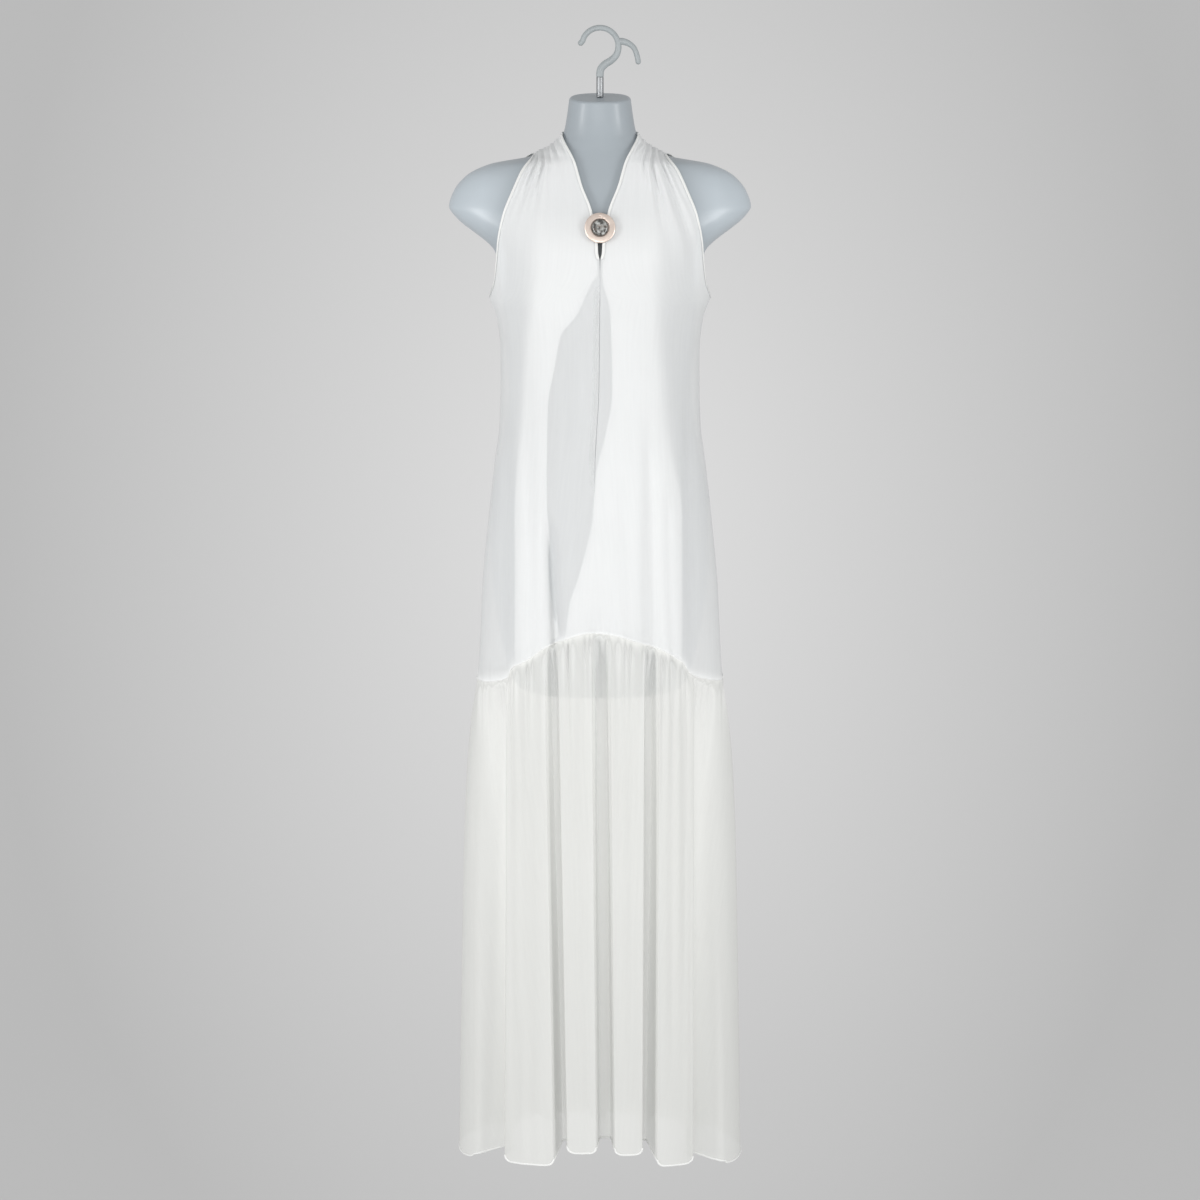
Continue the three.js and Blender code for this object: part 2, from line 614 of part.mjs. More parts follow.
// Limbless form: level rings from the neck cap to the rounded base
function formTorso() {
  const around = 32;
  const capTilt = Math.tan(THREE.MathUtils.degToRad(6));
  const heights = [-91, -112, -130, -140, -147, -153, -158, -162, -166, -169, -171.5, -175, -179, -184, -191, -199];
  heights.push(-210, -222, -232, -240.5, -247, -254, -270, -290, -310, -345, -390, -440, -490, -545, -600, -655);
  heights.push(-710, -765, -815, -860, -896, -910, -918, -920.5);
  const points = [];
  for (const z of heights) {
    const s = sectionOf(formTable, z);
    for (let i = 0; i < around; i += 1) {
      const a = (i / around) * 2 * Math.PI;
      const x = s.w * Math.sin(a);
      const y = (Math.cos(a) > 0 ? -s.f : s.b) * bulge(x, s.w);
      const tilt = z > -112 ? capTilt * clamp((z + 112) / 21) : 0;
      points.push(new THREE.Vector3(x, y, z + y * tilt));
    }
  }
  const faces = [];
  for (let r = 0; r + 1 < heights.length; r += 1) {
    for (let i = 0; i < around; i += 1) {
      const a = r * around + i;
      const b = r * around + ((i + 1) % around);
      faces.push([a, a + around, b], [b, a + around, b + around]);
    }
  }
  const top = points.push(new THREE.Vector3(0, 0, heights[0])) - 1;
  const base = points.push(new THREE.Vector3(0, 0, heights[heights.length - 1])) - 1;
  const lastRing = (heights.length - 1) * around;
  for (let i = 0; i < around; i += 1) {
    const next = (i + 1) % around;
    faces.push([top, i, next], [base, lastRing + next, lastRing + i]);
  }
  return geometryOf(points, faces);
}

// Hook in one moulding: the main crook and a smaller one on its side, joined as one solid
const wasm = await Module();
wasm.setup();
function solidOf(geometry) {
  const bare = geometry.clone();
  bare.deleteAttribute("normal");
  bare.deleteAttribute("uv");
  const merged = mergeVertices(bare, 1e-3);
  return new wasm.Manifold(
    new wasm.Mesh({
      numProp: 3,
      vertProperties: merged.attributes.position.array,
      triVerts: new Uint32Array(merged.index.array),
    }),
  );
}
function geometryFromSolid(solid) {
  const mesh = solid.getMesh();
  const g = new THREE.BufferGeometry();
  g.setAttribute("position", new THREE.BufferAttribute(new Float32Array(mesh.vertProperties), 3));
  g.setIndex(new THREE.BufferAttribute(new Uint32Array(mesh.triVerts), 1));
  g.computeVertexNormals();
  return g;
}

const hookRadius = 25.3;
const hookCentre = { x: 0, z: -21.5 };
const hookHalf = 3.8;
const hookDepthHalf = 4.5;
const shank = [[22.5, -33], [15.5, -40.5], [6.9, -46], [1.2, -52.5], [0, -58], [0, -63]];
const shankSpread = 0.35;
function bar(points, stepCount, half, depthHalf) {
  const path = new THREE.CatmullRomCurve3(points.map(([x, z]) => new THREE.Vector3(x, 0, z)));
  const section = new THREE.Shape();
  section.absellipse(0, 0, depthHalf, half, 0, 2 * Math.PI);
  return new THREE.ExtrudeGeometry(section, { steps: stepCount, curveSegments: 4, extrudePath: path });
}
function hook() {
  const crook = [[-28.2, -20.5]];
  for (const degrees of [165, 150, 130, 110, 90, 70, 50, 30, 10, -8]) {
    const a = THREE.MathUtils.degToRad(degrees);
    crook.push([hookCentre.x + hookRadius * Math.cos(a), hookCentre.z + hookRadius * Math.sin(a)]);
  }
  crook.splice(1, 0, [-26.4, -17]);
  crook.push(...shank);
  const sideCrook = [[22, -15.5], [30, -14.8], [38.5, -17.2], [46, -23], [50.6, -33.5], [53.1, -46.3]];
  const main = bar(crook, 30, hookHalf, hookDepthHalf);
  const at = main.attributes.position;
  for (let i = 0; i < at.count; i += 1) {
    const z = at.getZ(i);
    if (z < shank[2][1]) {
      const next = Math.max(shank.findIndex((row) => row[1] <= z), 3);
      const [[x0, z0], [x1, z1]] = [shank[next - 1], shank[next]];
      const middle = lerp(x0, x1, (z - z0) / (z1 - z0));
      at.setX(i, middle + (at.getX(i) - middle) * (1 + shankSpread * smooth((shank[2][1] - z) / 12)));
    }
  }
  return solidOf(main).add(solidOf(bar(sideCrook, 12, hookHalf, hookDepthHalf)));
}

const stemRadius = 4.9;
const stemTop = -63.3;
const stemBottom = -90.4;
function lathe(profile, segments) {
  return new THREE.LatheGeometry(profile.map(([r, y]) => new THREE.Vector2(r, y)), segments);
}
function stem() {
  const g = lathe([[0, stemBottom], [stemRadius, stemBottom], [stemRadius, stemTop], [0, stemTop]], 20);
  return g.rotateX(Math.PI / 2);
}

// Brooch: a rounded ring with a domed stone, laid on the closed V
const broochHeight = -264;
const broochRadius = 21;
const broochBand = 9;
const stoneRadius = 11.6;
function broochPart(profile, segments) {
  const g = lathe(profile, segments);
  const here = clothSection(broochHeight);
  const below = clothSection(broochHeight - 10);
  const lean = Math.atan2(below.f - here.f, 10);
  const stand = bindingSpace + bindingWall + seamGap + 0.6;
  g.rotateX(Math.PI - lean);
  g.translate(0, -here.f - stand / Math.cos(lean), broochHeight);
  return g;
}
function broochRing() {
  const inner = broochRadius - broochBand;
  const profile = [[inner, 0], [broochRadius - 2, 0], [broochRadius, 1.6], [broochRadius - 1, 3.8], [broochRadius - 4, 5]];
  profile.push([inner + 2, 4.4], [inner, 2.6], [inner, 0]);
  return broochPart(profile, 32);
}
function broochStone() {
  const r = stoneRadius;
  return broochPart([[0, 0], [r, 0], [r, 2], [r * 0.85, 4.4], [r * 0.55, 6.2], [0, 7.2]], 24);
}

addMesh("form_torso", formTorso(), "form");
addMesh("hook_stem", stem(), "stem");
addMesh("hook", geometryFromSolid(hook()), "hook");
const skirtFront = skirt(-1, frontValleys, frontHemLift, arch);
const skirtBack = skirt(1, backValleys, backHemLift, backSeam);
addMesh("skirt_front", skirtFront.geometry, "skirt");
addMesh("skirt_back", skirtBack.geometry, "skirt");
addMesh("front_left", front(-1, skirtFront.top), "cloth");
addMesh("front_right", front(1, skirtFront.top), "cloth");
addMesh("back", back(skirtBack.top), "cloth");
addMesh("lining_left", lining(liningLeftTable), "lining");
addMesh("lining_right", lining(liningRightTable), "lining");

const neckPlaces = [0.004, 0.02, 0.06, 0.1, 0.14, 0.2, 0.26, 0.34, 0.42, 0.49, 0.56, 0.64, 0.72, 0.796];
const armPlaces = [0.004, 0.03, 0.07, 0.14, 0.2, 0.26, 0.34, 0.42, 0.49, 0.56, 0.64, 0.72, 0.8, 0.88, 0.95, 0.995];
for (const [word, hand] of [["left", -1], ["right", 1]]) {
  const atNeck = (v, s) => upperFront(s, v, hand);
  addMesh("neck_binding_" + word, strip(atNeck, neckPlaces, () => ""), "binding");
  const atArm = (v, s) => upperFront(1 - s, v, hand);
  addMesh("armhole_binding_front_" + word, strip(atArm, armPlaces, () => ""), "binding");
  const atBackArm = (v, s) => backPoint(hand * (1 - s), v);
  addMesh("armhole_binding_back_" + word, strip(atBackArm, armPlaces, () => ""), "binding");
}
const atBackNeck = (a, s) => backPoint((2 * a - 1) * 0.47, s * 0.4);
addMesh("neck_binding_back", strip(atBackNeck, steps(18), () => ""), "binding");
addMesh("brooch_ring", broochRing(), "ring");
addMesh("brooch_stone", broochStone(), "stone");

export default dress;
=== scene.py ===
"""A sleeveless gathered maxi dress on a limbless hanging form with a stem, a double hook and a brooch.

Lengths are metres, +Z is up and the wearer faces -Y. The origin is the underside of the hook's crown.
"""

import math

import bpy
import numpy as np
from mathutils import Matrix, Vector


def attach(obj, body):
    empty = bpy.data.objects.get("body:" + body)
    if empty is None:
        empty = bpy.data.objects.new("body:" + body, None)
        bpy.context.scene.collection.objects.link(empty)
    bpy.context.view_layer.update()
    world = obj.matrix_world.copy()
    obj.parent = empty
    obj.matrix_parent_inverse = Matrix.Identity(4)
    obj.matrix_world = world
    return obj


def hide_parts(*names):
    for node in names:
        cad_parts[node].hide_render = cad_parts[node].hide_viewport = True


bl_info = {
    "name": "Gathered Maxi Dress",
    "version": (1, 0, 0),
    "blender": (4, 5, 0),
    "location": "View3D > Sidebar > Dress",
    "description": "Makes a sheer gathered dress, the form it hangs on and a plain studio",
    "category": "Add Mesh",
}

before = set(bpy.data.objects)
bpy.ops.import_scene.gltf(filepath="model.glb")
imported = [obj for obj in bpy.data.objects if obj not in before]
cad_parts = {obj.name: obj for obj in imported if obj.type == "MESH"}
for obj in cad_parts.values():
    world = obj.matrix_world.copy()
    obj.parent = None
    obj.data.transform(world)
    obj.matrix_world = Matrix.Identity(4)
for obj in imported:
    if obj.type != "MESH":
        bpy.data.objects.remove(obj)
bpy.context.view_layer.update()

MM = 0.001
ROUNDNESS = 2.3  # exponent of every level section: 2 is an ellipse, more is squarer
SHOULDER_LIFT = 0.0019
SEAM_GAP = 0.0003
NECK_HALF = 0.051
NECK_TOP = -0.139
SHOULDER_TIP = 0.0912
UNDERARM = -0.367
HEM = -1.585
SLIT_TIP = 0.8
BACK_NECK_DROP = 0.013
SIDE_SEAM_X = 0.172


def table(names, rows, shares=""):
    """Columns of a short table as arrays by name. Lengths are given in millimetres, kept in metres."""
    columns = zip(names.split(), np.array(rows, dtype=float).T)
    return {name: column * (1 if name in shares.split() else MM) for name, column in columns}


# The form's level sections: height, half width, depth in front, depth behind
FORM = table("z w f b", [
    (-91, 42, 43, 43), (-120, 46, 45, 45), (-139.8, 50.2, 48, 48), (-152, 58, 51, 53),
    (-160, 68, 53, 56), (-166, 80, 55, 59), (-171.5, 93, 57, 62), (-183, 153, 61, 67),
    (-199, 185, 67, 73), (-220, 202, 73, 79), (-240.5, 208.4, 79, 84), (-252, 201.6, 83, 86),
    (-306, 143.8, 96, 93), (-367, 135, 103, 93), (-440, 130, 96, 86), (-490, 127, 89, 82),
    (-560, 134, 90, 88), (-650, 150, 96, 101), (-735, 151.7, 98, 108), (-800, 146, 94, 103),
    (-860, 134.6, 87, 93), (-900, 123, 79, 84), (-914, 112, 71, 76), (-920.5, 92, 58, 62),
])
# What the cloth stands off the form from the shoulders to the chest
EASE = table("z w f b", [
    (-139, 1.6, 4.6, 4.6), (-199, 1.6, 4.8, 5), (-252, 2, 5, 6), (-306, 20, 5.5, 7), (-367, 18, 6, 8),
    (-440, 10, 13, 14),
])
# The cloth's own level sections below the chest
CLOTH = table("z w f b", [
    (-367, 153, 109, 101), (-387, 144.5, 109.5, 101), (-440, 138, 110, 101),
    (-489, 138.2, 110.5, 102), (-545, 140.1, 111, 104), (-587, 145.5, 111, 106),
    (-636, 151.5, 111.5, 109), (-702, 158.5, 112, 113), (-766, 164.4, 113, 115),
    (-848, 168.4, 115, 115), (-899, 172, 118, 116), (-952, 179.9, 122, 118), (-1023, 186.6, 126, 121),
    (-1120, 191.3, 130, 124), (-1265, 194.8, 134, 128), (-1410, 197.7, 137, 131),
    (-1590, 200.7, 140, 133),
])
# Rows of the upper front. v: 0 shoulder, 1 underarm; c: neckline, slit and centre; s: shoulder tip and
# armhole
FRONT = table("v cx cz sx sz", [
    (0, 51, -141.5, 91.2, -169.6), (0.02, 50.4, -143, 92.2, -170.6), (0.06, 48.5, -148, 94.2, -172.8),
    (0.14, 43, -158, 98.6, -177), (0.26, 34, -175.4, 106, -186), (0.42, 23.8, -208.6, 120.5, -216),
    (0.56, 10.8, -241.7, 133.6, -249.6), (0.72, 3.2, -283.2, 140.5, -287),
    (0.765, 2.4, -297.5, 141.1, -299), (0.8, 0.5, -307.8, 141.6, -308),
    (0.91, 0, -338, 144.8, -341.3), (1, 0, -367, 153, -367),
], shares="v")
BACK_ARMHOLE = table("v x z", [
    (0, 91.2, -169.6), (0.14, 98.8, -177), (0.26, 108.5, -186), (0.42, 125, -216), (0.56, 136, -249.6),
    (0.72, 142.5, -287), (0.91, 146, -341.3), (1, 153, -367),
], shares="v")
# The arched seam between bodice and skirt, across the front
ARCH = table("x z", [
    (-172, -900), (-150, -895), (-131, -887), (-123.4, -873), (-103.7, -861.5), (-75.8, -841),
    (-55.1, -831.5), (-15.1, -820), (19.3, -823), (51.6, -833), (78.6, -842), (116.2, -865),
    (126, -880), (150, -892), (172, -900),
])
BACK_SEAM_DIP = 0.006
CENTRE_SEAM = table("z x", [(-338, 0), (-483, -1.4), (-589, -6.8), (-700, -8.2), (-830, -8.2)])
# Side edges of the inner panels
LINING_LEFT = table("z left right", [
    (-205, -100, -31), (-242, -108, -17), (-284, -112, -8), (-326, -112, -3), (-338, -112, -11),
    (-382.6, -112.5, -32.6), (-409.8, -113.4, -53.8), (-453.8, -115, -62.7), (-510, -117, -72.4),
    (-635.6, -120.5, -74), (-705, -121, -72), (-756, -121.5, -67.4), (-860, -122, -56),
])
LINING_RIGHT = table("z left right", [
    (-205, 31, 98), (-242, 17, 104), (-284, 8, 103), (-326, 3, 98), (-380, 14, 96), (-486, 16.8, 106),
    (-548, 6.8, 111), (-600, -5.5, 114), (-662, -10.3, 117), (-697, -17.8, 117.5),
    (-745.6, -30.9, 118.5), (-780.6, -42.6, 118.6), (-860, -52, 117.6),
])
LINING_LENGTH = 0.66
LINING_FILL = 0.66  # share of the flat rectangle that the panel's cut covers
# Valleys between the skirt's large folds. top, hem: x at the seam and the hem; half: half width of the
# floor; left, right: width of each wall; deep: depth at the hem; rise: run up into the bodice; lift:
# rise of the hem
FRONT_VALLEYS = table("top hem half left right deep rise lift", [
    (-136, -140, 2, 34, 5, 34, 30, 28), (-67.5, -55, 4.5, 5, 5, 50, 260, 38),
    (1, 8, 8, 5, 5, 47, 60, 44), (71.5, 69.5, 5.5, 5, 5, 50, 320, 38),
    (136, 137, 2, 5, 34, 34, 40, 20),
])
BACK_VALLEYS = table("top hem half left right deep rise lift", [
    (-131, -136, 3, 30, 6, 34, 60, 18), (-72, -80, 7, 6, 6, 48, 190, 22),
    (-8, -3, 9, 6, 6, 52, 120, 24), (62, 70, 7, 6, 6, 46, 220, 20), (128, 134, 3, 6, 30, 34, 80, 16),
])
VALLEY_START = 0.13  # share of a valley's hem depth that it has at the seam
SEWN_SHARE = 0.02  # share of the fall over which the skirt's top leaves the bodice's edge
BACK_PUCKER_SHIFT = 0.004
FRONT_HEM_LIFT = np.array([19, 16, 35, 32, 14, 5]) * MM
BACK_HEM_LIFT = np.array([8, 12, 18, 16, 12, 5]) * MM
SIDE_HEM_LIFT_LEFT = 0.008
SIDE_HEM_LIFT_RIGHT = 0.002
HEM_CORNER_RADIUS = 0.011
HEM_CORNER_LIFT = 0.008

# Soft creases down the skirt. fold: number from the left; at: place across the fold; drift: how far
# that moves by the hem; wide, deep: size; start, end: shares of the fall between which the crease shows
CREASES = "fold at drift wide deep start end"
CREASE_SHARES = "fold at drift start end"
FRONT_CREASES = table(CREASES, [
    (0, 0.9, -0.28, 4, 3.4, 0.02, 1.0), (0, 0.34, 0, 6, 1.8, 0.02, 0.5),
    (0, 0.6, -0.2, 5, 1.6, 0.02, 0.4), (1, 0.2, 0.02, 5, 1.4, 0.03, 0.45),
    (1, 0.37, 0.06, 5, 2.2, 0.02, 0.8), (1, 0.52, 0, 6, 1.8, 0.2, 1.0),
    (1, 0.7, 0.03, 4, 1.5, 0.02, 0.35), (2, 0.3, 0, 4, 1.6, 0.03, 0.4),
    (2, 0.55, 0.05, 5, 1.3, 0.1, 1.0), (2, 0.74, 0, 4, 1.5, 0.02, 0.3),
    (3, 0.33, 0, 4, 1.7, 0.02, 0.5), (3, 0.6, -0.04, 5, 1.2, 0.2, 0.9),
    (3, 0.78, 0, 3, 1.5, 0.02, 0.28), (4, 0.24, 0, 4, 1.7, 0.02, 0.4),
    (4, 0.42, 0.04, 5, 1.5, 0.1, 0.9), (4, 0.7, 0.04, 5, 1.9, 0.02, 0.7),
    (4, 0.84, 0, 3, 1.2, 0.3, 1.0), (5, 0.3, 0.1, 5, 2.6, 0.02, 1.0),
    (5, 0.52, 0.1, 5, 2.0, 0.05, 0.8), (5, 0.72, 0, 5, 1.2, 0.02, 0.4),
], shares=CREASE_SHARES)
BACK_CREASES = table(CREASES, [
    (0, 0.55, -0.1, 5, 2.4, 0.02, 0.9), (0, 0.75, 0, 4, 1.6, 0.02, 0.4),
    (1, 0.3, 0.05, 5, 1.9, 0.02, 0.7), (1, 0.62, 0, 5, 1.6, 0.1, 1.0),
    (2, 0.28, 0, 4, 1.5, 0.02, 0.35), (2, 0.5, -0.05, 6, 2.0, 0.05, 0.9),
    (2, 0.77, 0, 4, 1.4, 0.02, 0.5), (3, 0.35, 0.04, 5, 1.8, 0.02, 0.8),
    (3, 0.68, 0, 4, 1.5, 0.02, 0.4), (4, 0.3, 0, 5, 1.4, 0.02, 0.5),
    (4, 0.58, 0.05, 5, 2.1, 0.05, 1.0), (5, 0.35, 0.08, 5, 2.3, 0.02, 0.9),
    (5, 0.6, 0, 4, 1.5, 0.02, 0.4),
], shares=CREASE_SHARES)

# Soft creases down the front of the bodice. top, bottom: x at its ends; start, end: their heights;
# wide, deep: size; open: share of the length after which it closes, 1 where it runs into the seam
BODICE_CREASES = table("top bottom start end wide deep open", [
    (-74, -63, -640, -856, 8, 9, 1.3), (-101, -93, -430, -880, 9, 2.4, 1.0),
    (66, 76, -480, -850, 9, 3.2, 1.2), (118, 126, -400, -880, 8, 2.6, 0.8),
    (32, 44, -560, -850, 10, 1.6, 0.9), (-126, -130, -480, -880, 8, 2.0, 0.8),
    (92, 101, -600, -870, 7, 1.8, 1.0), (-44, -40, -380, -620, 10, 1.4, 0.6),
    (14, 22, -300, -480, 8, 1.8, 0.4),
], shares="open")

# Gathers that fan down from each shoulder. at: place from neck to armhole; drift: how far that moves by
# the underarm; wide: in shares of the shoulder; deep: size; end: the row where the gather has faded
GATHERS = "at drift wide deep end"
SHOULDER_GATHERS = {
    -1: table(GATHERS, [
        (0.13, 0, 0.03, 1.2, 0.3), (0.28, 0.02, 0.035, 2.6, 0.34), (0.43, 0, 0.03, 1.3, 0.4),
        (0.6, -0.06, 0.045, 3.0, 0.8), (0.75, 0.01, 0.04, 2.7, 0.55), (0.88, 0.02, 0.03, 1.4, 0.7),
    ], shares="at drift wide end"),
    1: table(GATHERS, [
        (0.14, 0.02, 0.03, 1.2, 0.34), (0.3, 0.12, 0.035, 2.3, 0.5), (0.47, 0.04, 0.045, 3.0, 0.9),
        (0.68, 0.08, 0.045, 2.9, 0.95), (0.82, 0.02, 0.035, 1.8, 0.6), (0.92, 0, 0.03, 1.2, 0.4),
    ], shares="at drift wide end"),
}

HOOK_CENTRE_Z = -0.0215
HOOK_RADIUS = 0.0253
HOOK_ARC = (165, 150, 130, 110, 90, 70, 50, 30, 10, -8)
HOOK_START = np.array([(-28.2, -20.5), (-26.4, -17)]) * MM
HOOK_SHANK = np.array([(22.5, -33), (15.5, -40.5), (6.9, -46), (1.2, -52.5), (0, -58), (0, -63)]) * MM
SIDE_HOOK = np.array([(22, -15.5), (30, -14.8), (38.5, -17.2), (46, -23), (50.6, -33.5), (53.1, -46.3)]) * MM
STEM_TOP = -0.0633
STEM_BOTTOM = -0.0904
STEM_RADIUS = 0.0049
STEM_EDGE = 0.0004  # radius of the stem's rounded edges
BROOCH_Z = -0.264
BROOCH_LEAN_SPAN = 0.010  # height over which the chest's lean is taken
BROOCH_STAND = 0.00245  # what the brooch stands off the cloth

STUDIO_HALF = 40.0
SWEEP_RADIUS = 0.6
SWEEP_CENTRE_Y = 4.6
SWEEP_CENTRE_Z = -2.85
WALL_TOP = 20.0
LAMP_TARGET = (0, 0, -0.75)
CAMERA_PLACE = (0, -6.0, 0.1592)
CAMERA_TARGET = (0, 0, -0.7908)


def length_value(name, description, default):
    """A size in metres for the sidebar."""
    return bpy.props.FloatProperty(name=name, description=description, default=default, unit="LENGTH")


def share_value(name, description, default):
    """A share from 0 to 1 for the sidebar."""
    return bpy.props.FloatProperty(name=name, description=description, default=default, subtype="FACTOR")


def colour_value(name, description, default):
    """A colour for the sidebar."""
    return bpy.props.FloatVectorProperty(
        name=name, description=description, default=default, subtype="COLOR", size=3)


class DressSizes(bpy.types.PropertyGroup):
    """Sizes of the cloth and its trims."""

    gather_depth: length_value("Skirt gathers", "Depth of the gathers under the seam", 0.0052)
    gathers_per_fold: bpy.props.IntProperty(
        name="Gathers a fold", description="Gathers across each large fold", default=7)
    binding_width: length_value("Binding width", "Width of the edge binding", 0.0042)
    binding_wall: length_value("Binding thickness", "Thickness of the edge binding", 0.0011)
    hem_radius: length_value("Rolled hem", "Radius of the rolled hem", 0.0014)
    piping_radius: length_value("Seam ridge", "Radius of the ridge on the arched seam", 0.0008)
    placket_width: length_value("Centre strip", "Width of the strip on the centre seam", 0.0095)
    brooch_radius: length_value("Brooch radius", "Outer radius of the brooch", 0.021)


class DressColours(bpy.types.PropertyGroup):
    """Colours and cover of the finishes."""

    bodice: colour_value("Bodice", "Cloth of the bodice", (0.845, 0.855, 0.855))
    skirt: colour_value("Skirt", "Cloth of the skirt", (0.745, 0.75, 0.727))
    lining: colour_value("Inner panels", "Opaque inner panels", (0.93, 0.94, 0.94))
    trim: colour_value("Binding", "Binding, ridge and hem", (0.83, 0.835, 0.82))
    form: colour_value("Form", "Satin plastic form", (0.36, 0.40, 0.43))
    hook: colour_value("Hook", "Moulded hook", (0.36, 0.39, 0.40))
    ring: colour_value("Brooch metal", "Pale rose metal", (0.86, 0.735, 0.655))
    stone: colour_value("Brooch stone", "Dark stone", (0.07, 0.065, 0.06))
    floor: colour_value("Studio", "Floor and sweep", (0.60, 0.60, 0.60))
    bodice_cover: share_value("Bodice cover", "How much one layer of bodice cloth hides", 0.73)
    skirt_cover: share_value("Skirt cover", "How much one layer of skirt cloth hides", 0.80)


def lerp(a, b, t):
    """Straight mix of a and b."""
    return a + (b - a) * t


def smooth(t):
    """0 below 0, 1 above 1, and 3 t^2 - 2 t^3 between."""
    s = np.clip(t, 0, 1)
    return s * s * (3 - 2 * s)


def uneven(i):
    """A steady uneven value from -1 to 1 for the i-th repeat."""
    return np.sin(i * 12.9898 + 4.1) * np.cos(i * 3.71 + 0.7)


def cubic(t, span, start, end, leaving, arriving):
    """Cubic piece from start to end over span, with its slopes at both ends. t: 0 to 1 along it."""
    return (
        (2 * t**3 - 3 * t**2 + 1) * start + (t**3 - 2 * t**2 + t) * span * leaving
        + (3 * t**2 - 2 * t**3) * end + (t**3 - t**2) * span * arriving
    )


def along(rows, key, column, at):
    """A table's column at each key: cubic pieces whose slope at a row is the harmonic mean of its
    neighbours'."""
    k, c = rows[key], rows[column]
    if k[0] > k[-1]:
        k, c = k[::-1], c[::-1]
    slope = np.diff(c) / np.diff(k)
    product = slope[:-1] * slope[1:]
    total = np.where(product > 0, slope[:-1] + slope[1:], 1)
    tangent = np.concatenate([slope[:1], np.where(product > 0, 2 * product / total, 0), slope[-1:]])
    at = np.clip(at, k[0], k[-1])
    i = np.clip(np.searchsorted(k, at, side="right") - 1, 0, len(k) - 2)
    span = k[i + 1] - k[i]
    t = (at - k[i]) / span
    return cubic(t, span, c[i], c[i + 1], tangent[i], tangent[i + 1])


def section(rows, z):
    """Half width, front depth and back depth of a table's level section."""
    return np.stack([along(rows, "z", name, z) for name in "wfb"])


def cloth_section(z):
    """Level section of the cloth: the form plus its ease above, its own table below the chest."""
    eased = section(FORM, z - SHOULDER_LIFT) + section(EASE, z)
    return lerp(eased, section(CLOTH, z), smooth((UNDERARM + 0.030 - z) / 0.060))


def bulge(x, w):
    """Share of the full depth left at x: (1 - (|x| / w)^n)^(1 / n)."""
    return np.maximum(0, 1 - (np.abs(x) / w) ** ROUNDNESS) ** (1 / ROUNDNESS)


def shoulder_line(x):
    """Height where the cloth's half width is x, found by halving; level over the neck opening."""
    x = np.abs(x)
    high = np.full(np.shape(x), NECK_TOP)
    low = np.full(np.shape(x), -0.235)
    for _ in range(36):
        middle = (high + low) / 2
        narrow = cloth_section(middle)[0] < x
        high = np.where(narrow, middle, high)
        low = np.where(narrow, low, middle)
    return np.where(x <= NECK_HALF, NECK_TOP, low)


def arch(x):
    """Height of the front seam."""
    return along(ARCH, "x", "z", x)


def back_seam(x):
    """Height of the back seam, a shallow parabola between the side seams."""
    return ARCH["z"][0] - BACK_SEAM_DIP * (1 - (x / SIDE_SEAM_X) ** 2)


def cloth_point(x, z, side, out=0.0):
    """Point of the cloth at x and z, moved out along its level normal. side: -1 front, 1 back."""
    x, z, out = np.broadcast_arrays(x, z, out)
    w, front, behind = cloth_section(z)
    depth = front if side < 0 else behind
    y = side * np.maximum(SEAM_GAP / 2, depth * bulge(x, w))
    nx = np.sign(x) * np.clip(np.abs(x) / w, 0, 1) ** (ROUNDNESS - 1) / w
    ny = side * (np.abs(y) / depth) ** (ROUNDNESS - 1) / depth
    length = np.maximum(np.hypot(nx, ny), 1e-9)
    return np.stack([x + out * nx / length, y + out * ny / length, z], axis=-1)


def bodice_valley(valleys, seam_z, x, z):
    """Depth of the skirt valleys' soft start on the bodice: bells across, fading up over each
    valley's rise."""
    width = 0.015
    up = smooth(1 - (z - seam_z)[..., None] / valleys["rise"])
    across = np.exp(-(((x[..., None] - valleys["top"]) / width) ** 2))
    return (VALLEY_START * valleys["deep"] * up * across).sum(axis=-1)


def bodice_creases(x, z):
    """Depth of the listed soft creases on the bodice front: bells across a leaning line, faded at both ends."""
    rows = BODICE_CREASES
    down = (rows["start"] - z[..., None]) / (rows["start"] - rows["end"])
    middle = lerp(rows["top"], rows["bottom"], down)
    fade = smooth(down / 0.35) * (1 - smooth((down - rows["open"]) / 0.25))
    return (rows["deep"] * fade * np.exp(-(((x[..., None] - middle) / rows["wide"]) ** 2))).sum(axis=-1)


def seam_pucker(x, above):
    """Small puckers that the gathering pulls into the bodice: waves across that die away above the
    seam."""
    wave = np.sin(2 * np.pi * x / 0.0095 + 2 * np.sin(x / 0.019)) * (0.6 + 0.4 * np.sin(x / 0.0137 + 1))
    return 0.0006 * wave * np.exp(-above / 0.009)


def seam_depth(side, x):
    """Depth of the bodice's lower edge, which the skirt's gathered top is sewn to."""
    if side < 0:
        z = arch(x)
        return bodice_valley(FRONT_VALLEYS, z, x, z) + seam_pucker(x, 0) + bodice_creases(x, z)
    z = back_seam(x)
    return bodice_valley(BACK_VALLEYS, z, x, z) + seam_pucker(x + BACK_PUCKER_SHIFT, 0)


